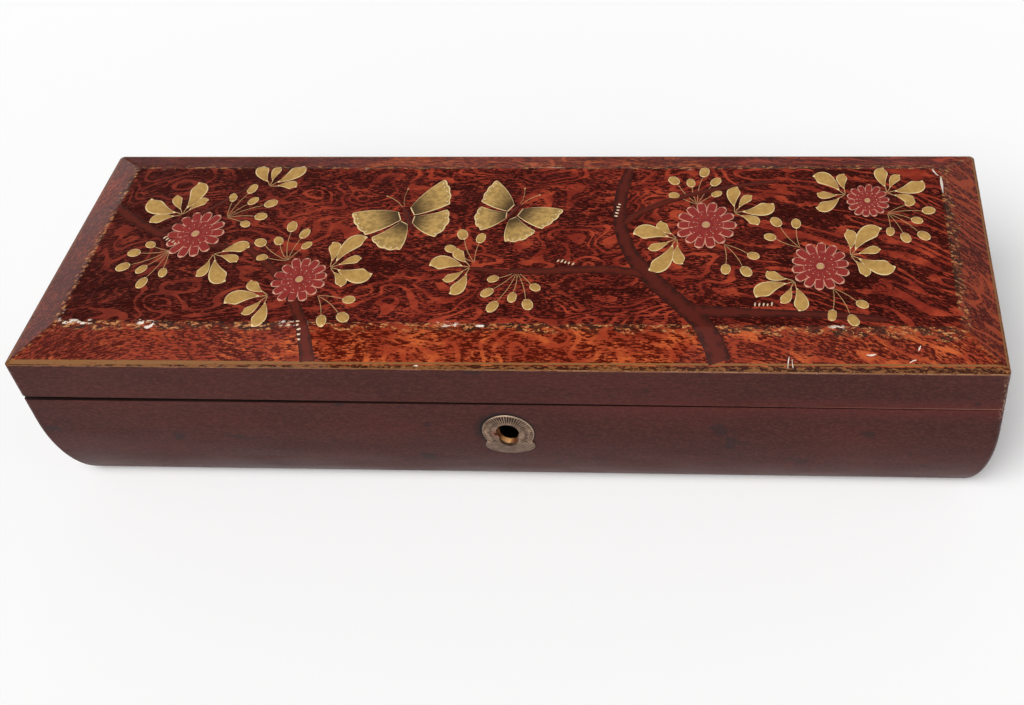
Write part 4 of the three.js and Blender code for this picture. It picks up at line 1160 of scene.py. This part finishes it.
def make_escutcheon():
    """Stamped sheet: a fluted disc on a crescent foot with two ears, with a lip round the keyhole."""
    radius, ear_x, ear_down, foot_down = 8.1 * MM, 8.2 * MM, 6.2 * MM, 9.9 * MM
    notch = math.degrees(math.asin(4.1 / 8.1))
    rise = 0.65 * MM
    disc = circle_points((0, 0), radius, -notch, 180 + notch, 560)
    pull = -(foot_down + (foot_down - ear_down) / 3)
    ear = Vector((ear_x, -ear_down))
    left_ear = Vector((-ear.x, ear.y))
    controls = [left_ear, Vector((-6.1 * MM, pull)), Vector((6.1 * MM, pull)), ear]
    foot = [bezier(controls, step / 64)[0] for step in range(65)]
    foot = [point for point in foot if min((point - ear).length, (point - left_ear).length) > EAR_ROUNDING]

    def round_ear(corner, shoulder, foot_end):
        start = corner + (Vector(shoulder) - corner).normalized() * EAR_ROUNDING
        return [bezier([start, corner, foot_end], step / 12)[0] for step in range(12)]

    left_lobe = round_ear(left_ear, disc[-1], foot[0])
    right_lobe = round_ear(ear, disc[0], foot[-1])[::-1]
    outline = disc + [tuple(point) for point in left_lobe + foot + right_lobe]
    centre = Vector((0, -1.0 * MM))
    hole = [Vector((a, b - KEYHOLE_Z)) for a, b in keyhole_outline()]

    def hole_towards(point):
        """Where the keyhole's edge lies on the way from the centre to the point."""
        heading = (Vector(point) - centre).normalized()
        for a, b in zip(hole, hole[1:] + hole[:1]):
            edge, to_a = b - a, a - centre
            cross = heading.x * edge.y - heading.y * edge.x
            if abs(cross) < 1e-12:
                continue
            reach = (to_a.x * edge.y - to_a.y * edge.x) / cross
            share = (to_a.x * heading.y - to_a.y * heading.x) / cross
            if reach > 0 and -1e-6 <= share <= 1 + 1e-6:
                in_nick = abs(math.degrees(math.atan2(heading.y, -heading.x)) - NICK_ANGLE) < NICK_HALF_ANGLE
                return centre + heading * (reach + (NICK_DEPTH if in_nick else 0.0))
        raise ValueError("the keyhole has no edge that way")

    shares = [0.0, 0.04, 0.1, 0.2, 0.32, 0.42, 0.52, 0.62, 0.72, 0.82, 0.9, 0.96, 1.0]
    mesh = bmesh.new()
    columns = []
    for index, point in enumerate(outline):
        outer = Vector(point)
        inner = hole_towards(point)
        angle = math.atan2(outer.y, outer.x)
        on_disc = index < len(disc)
        column = [mesh.verts.new((inner.x, -HALF_DEPTH + 0.4 * MM, inner.y + KEYHOLE_Z))]
        for share in shares:
            place = inner.lerp(outer, share)
            height = rise * (0.72 + 0.28 * math.cos(math.pi * (share * 1.3 - 0.1)))
            lip = 0.16 * MM * math.exp(-((share - 0.06) / 0.06) ** 2)
            flute = 0.0
            band = max(0.0, math.sin(math.pi * min(1.0, max(0.0, (share - 0.45) / 0.5))))
            if on_disc:
                flute = 0.13 * MM * band * math.cos(FLUTES * angle)
            else:
                flute = 0.1 * MM * band * math.cos(share * 40)
            edge_drop = 0.3 * MM * max(0.0, (share - 0.9) / 0.1) ** 2
            y = -HALF_DEPTH - (height + lip + flute - edge_drop)
            column.append(mesh.verts.new((place.x, y, place.y + KEYHOLE_Z)))
        column.append(mesh.verts.new((outer.x, -HALF_DEPTH + 0.02 * MM, outer.y + KEYHOLE_Z)))
        columns.append(column)
    for first, second in zip(columns, columns[1:] + columns[:1]):
        for a, b, c, d in zip(first, first[1:], second[1:], second):
            mesh.faces.new((a, b, c, d))
        mesh.faces.new((first[-1], first[0], second[0], second[-1]))
    bmesh.ops.remove_doubles(mesh, verts=mesh.verts, dist=0.002 * MM)
    piece = make_piece("escutcheon_plate", mesh, [ESCUTCHEON], "base", ["escutcheon"])
    smooth(piece, 50)
    return piece


def make_screw(node, facing):
    """A countersunk screw with a driver slot, in the place of a plain one. facing is its head's side."""
    low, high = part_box(node)
    middle = (low + high) / 2
    turn = {"up": Matrix.Identity(4), "down": Matrix.Rotation(math.pi, 4, "X"),
            "back": Matrix.Rotation(-math.pi / 2, 4, "X")}[facing]
    face = {"up": Vector((middle.x, middle.y, high.z)), "down": Vector((middle.x, middle.y, low.z)),
            "back": Vector((middle.x, high.y, middle.z))}[facing]
    length = max(high - low)
    profile = [(0.05, -length / MM), (0.5, -length / MM + 0.8), (0.5, -0.5), (1.03, -0.06), (1.0, 0.0),
               (0.5, 0.02)]
    mesh = bmesh.new()
    sides = 32
    rings = []
    for radius, z in profile:
        rings.append([mesh.verts.new((radius * MM * math.cos(2 * math.pi * i / sides),
                                      radius * MM * math.sin(2 * math.pi * i / sides), z * MM))
                      for i in range(sides)])
    for first, second in zip(rings, rings[1:]):
        for i in range(sides):
            j = (i + 1) % sides
            mesh.faces.new((first[i], first[j], second[j], second[i]))
    mesh.faces.new(rings[0][::-1])
    mesh.faces.new(rings[-1])
    body = frame["nodes"][node]["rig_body"]
    piece = make_piece(node + "_slotted", mesh, [BRASS], body, [node])
    slot = box_cutter((-2 * MM, -0.16 * MM, -0.3 * MM), (2 * MM, 0.16 * MM, 1 * MM), 0)
    cut(piece, [slot])
    number = sum(ord(letter) for letter in node)
    spin = Matrix.Rotation(math.radians(37 * number % 180), 4, "Z")
    piece.data.transform(Matrix.Translation(face) @ turn @ spin)
    smooth(piece, 40)


def finish_hardware():
    make_escutcheon()
    for side in ("left", "right"):
        for number in (1, 2):
            make_screw(f"{side}_hinge_base_screw_{number}", "up")
            make_screw(f"{side}_hinge_lid_screw_{number}", "down")
    for number, facing in ((1, "up"), (2, "up"), (3, "back"), (4, "back")):
        make_screw(f"lock_plate_screw_{number}", facing)
    for number in (1, 2):
        make_screw(f"strike_screw_{number}", "down")
    dark_nodes = ("lock_cap", "lock_bolt")
    steel_nodes = ("left_hinge_pin", "right_hinge_pin", "bolt_spring")
    for name, node in frame["nodes"].items():
        material = STEEL if name in steel_nodes else DARK_BRASS if name in dark_nodes else BRASS
        node.data.materials.clear()
        node.data.materials.append(material)


# Stage, light and camera

def make_stage():
    mesh = bmesh.new()
    bmesh.ops.create_grid(mesh, x_segments=8, y_segments=8, size=6.0)
    bmesh.ops.translate(mesh, verts=mesh.verts, vec=(0, 0, -0.05 * MM))
    data = bpy.data.meshes.new("floor")
    mesh.to_mesh(data)
    mesh.free()
    floor = bpy.data.objects.new("floor", data)
    bpy.context.scene.collection.objects.link(floor)
    material = bpy.data.materials.new("pale_floor")
    material.use_nodes = True
    tree = material.node_tree
    shader = tree.nodes["Principled BSDF"]
    shader.inputs["Roughness"].default_value = 0.9
    shader.inputs["Specular IOR Level"].default_value = 0.0
    path = tree.nodes.new("ShaderNodeLightPath")
    seen = tree.nodes.new("ShaderNodeMath")
    seen.operation = "ADD"
    seen_too = tree.nodes.new("ShaderNodeMath")
    seen_too.operation = "ADD"
    seen_too.use_clamp = True
    tree.links.new(path.outputs["Is Camera Ray"], seen.inputs[0])
    tree.links.new(path.outputs["Is Glossy Ray"], seen.inputs[1])
    tree.links.new(seen.outputs[0], seen_too.inputs[0])
    tree.links.new(path.outputs["Is Transmission Ray"], seen_too.inputs[1])
    color = tree.nodes.new("ShaderNodeMix")
    color.data_type = "RGBA"
    tree.links.new(seen_too.outputs[0], color.inputs["Factor"])
    color.inputs[6].default_value = (0.8, 0.8, 0.8, 1)
    color.inputs[7].default_value = (1, 1, 1, 1)
    tree.links.new(color.outputs[2], shader.inputs["Base Color"])
    data.materials.append(material)


def make_light():
    world = bpy.data.worlds.new("studio")
    bpy.context.scene.world = world
    world.use_nodes = True
    tree = world.node_tree
    background = tree.nodes["Background"]
    background.inputs["Color"].default_value = (1, 1, 1, 1)
    place = tree.nodes.new("ShaderNodeTexCoord")
    split = tree.nodes.new("ShaderNodeSeparateXYZ")
    tree.links.new(place.outputs["Generated"], split.inputs[0])
    fade = tree.nodes.new("ShaderNodeMapRange")
    fade.interpolation_type = "SMOOTHSTEP"
    fade.inputs["From Min"].default_value = 0.24
    fade.inputs["From Max"].default_value = 0.42
    fade.inputs["To Min"].default_value = 1.0
    fade.inputs["To Max"].default_value = 0.15
    tree.links.new(split.outputs[2], fade.inputs["Value"])
    tree.links.new(fade.outputs[0], background.inputs["Strength"])
    sun = bpy.data.lights.new("softbox", "SUN")
    sun.energy = 2.9
    sun.angle = math.radians(50)
    lamp = bpy.data.objects.new("softbox", sun)
    lamp.rotation_euler = (math.radians(32), math.radians(-18), 0)
    bpy.context.scene.collection.objects.link(lamp)


CAMERA_PLACE = (79.7 * MM, -309.6 * MM, ARRIS_Z + 290.6 * MM)
CAMERA_PITCH = 42.87
CAMERA_YAW = 4.83
CAMERA_ROLL = 3.07
PICTURE_WIDTH, PICTURE_HEIGHT = 1024, 705
FOCAL_PIXELS = 1333
PRINCIPAL_X, PRINCIPAL_Y = 685, 250


def make_camera():
    data = bpy.data.cameras.new("camera")
    data.sensor_width = 36
    data.lens = FOCAL_PIXELS / PICTURE_WIDTH * data.sensor_width
    data.shift_x = (PICTURE_WIDTH / 2 - PRINCIPAL_X) / PICTURE_WIDTH
    data.shift_y = (PRINCIPAL_Y - PICTURE_HEIGHT / 2) / PICTURE_WIDTH
    data.clip_start = 0.01
    camera = bpy.data.objects.new("camera", data)
    bpy.context.scene.collection.objects.link(camera)
    camera.matrix_world = (
        Matrix.Translation(CAMERA_PLACE)
        @ Matrix.Rotation(math.radians(CAMERA_YAW), 4, "Z")
        @ Matrix.Rotation(math.radians(-CAMERA_PITCH), 4, "X")
        @ Matrix.Rotation(math.radians(CAMERA_ROLL), 4, "Y")
        @ Matrix.Rotation(math.radians(90), 4, "X")
    )
    bpy.context.scene.camera = camera


make_base()
make_lid()
paint_lid()
finish_hardware()
make_stage()
make_light()
make_camera()
bpy.context.scene.view_settings.view_transform = "Standard"
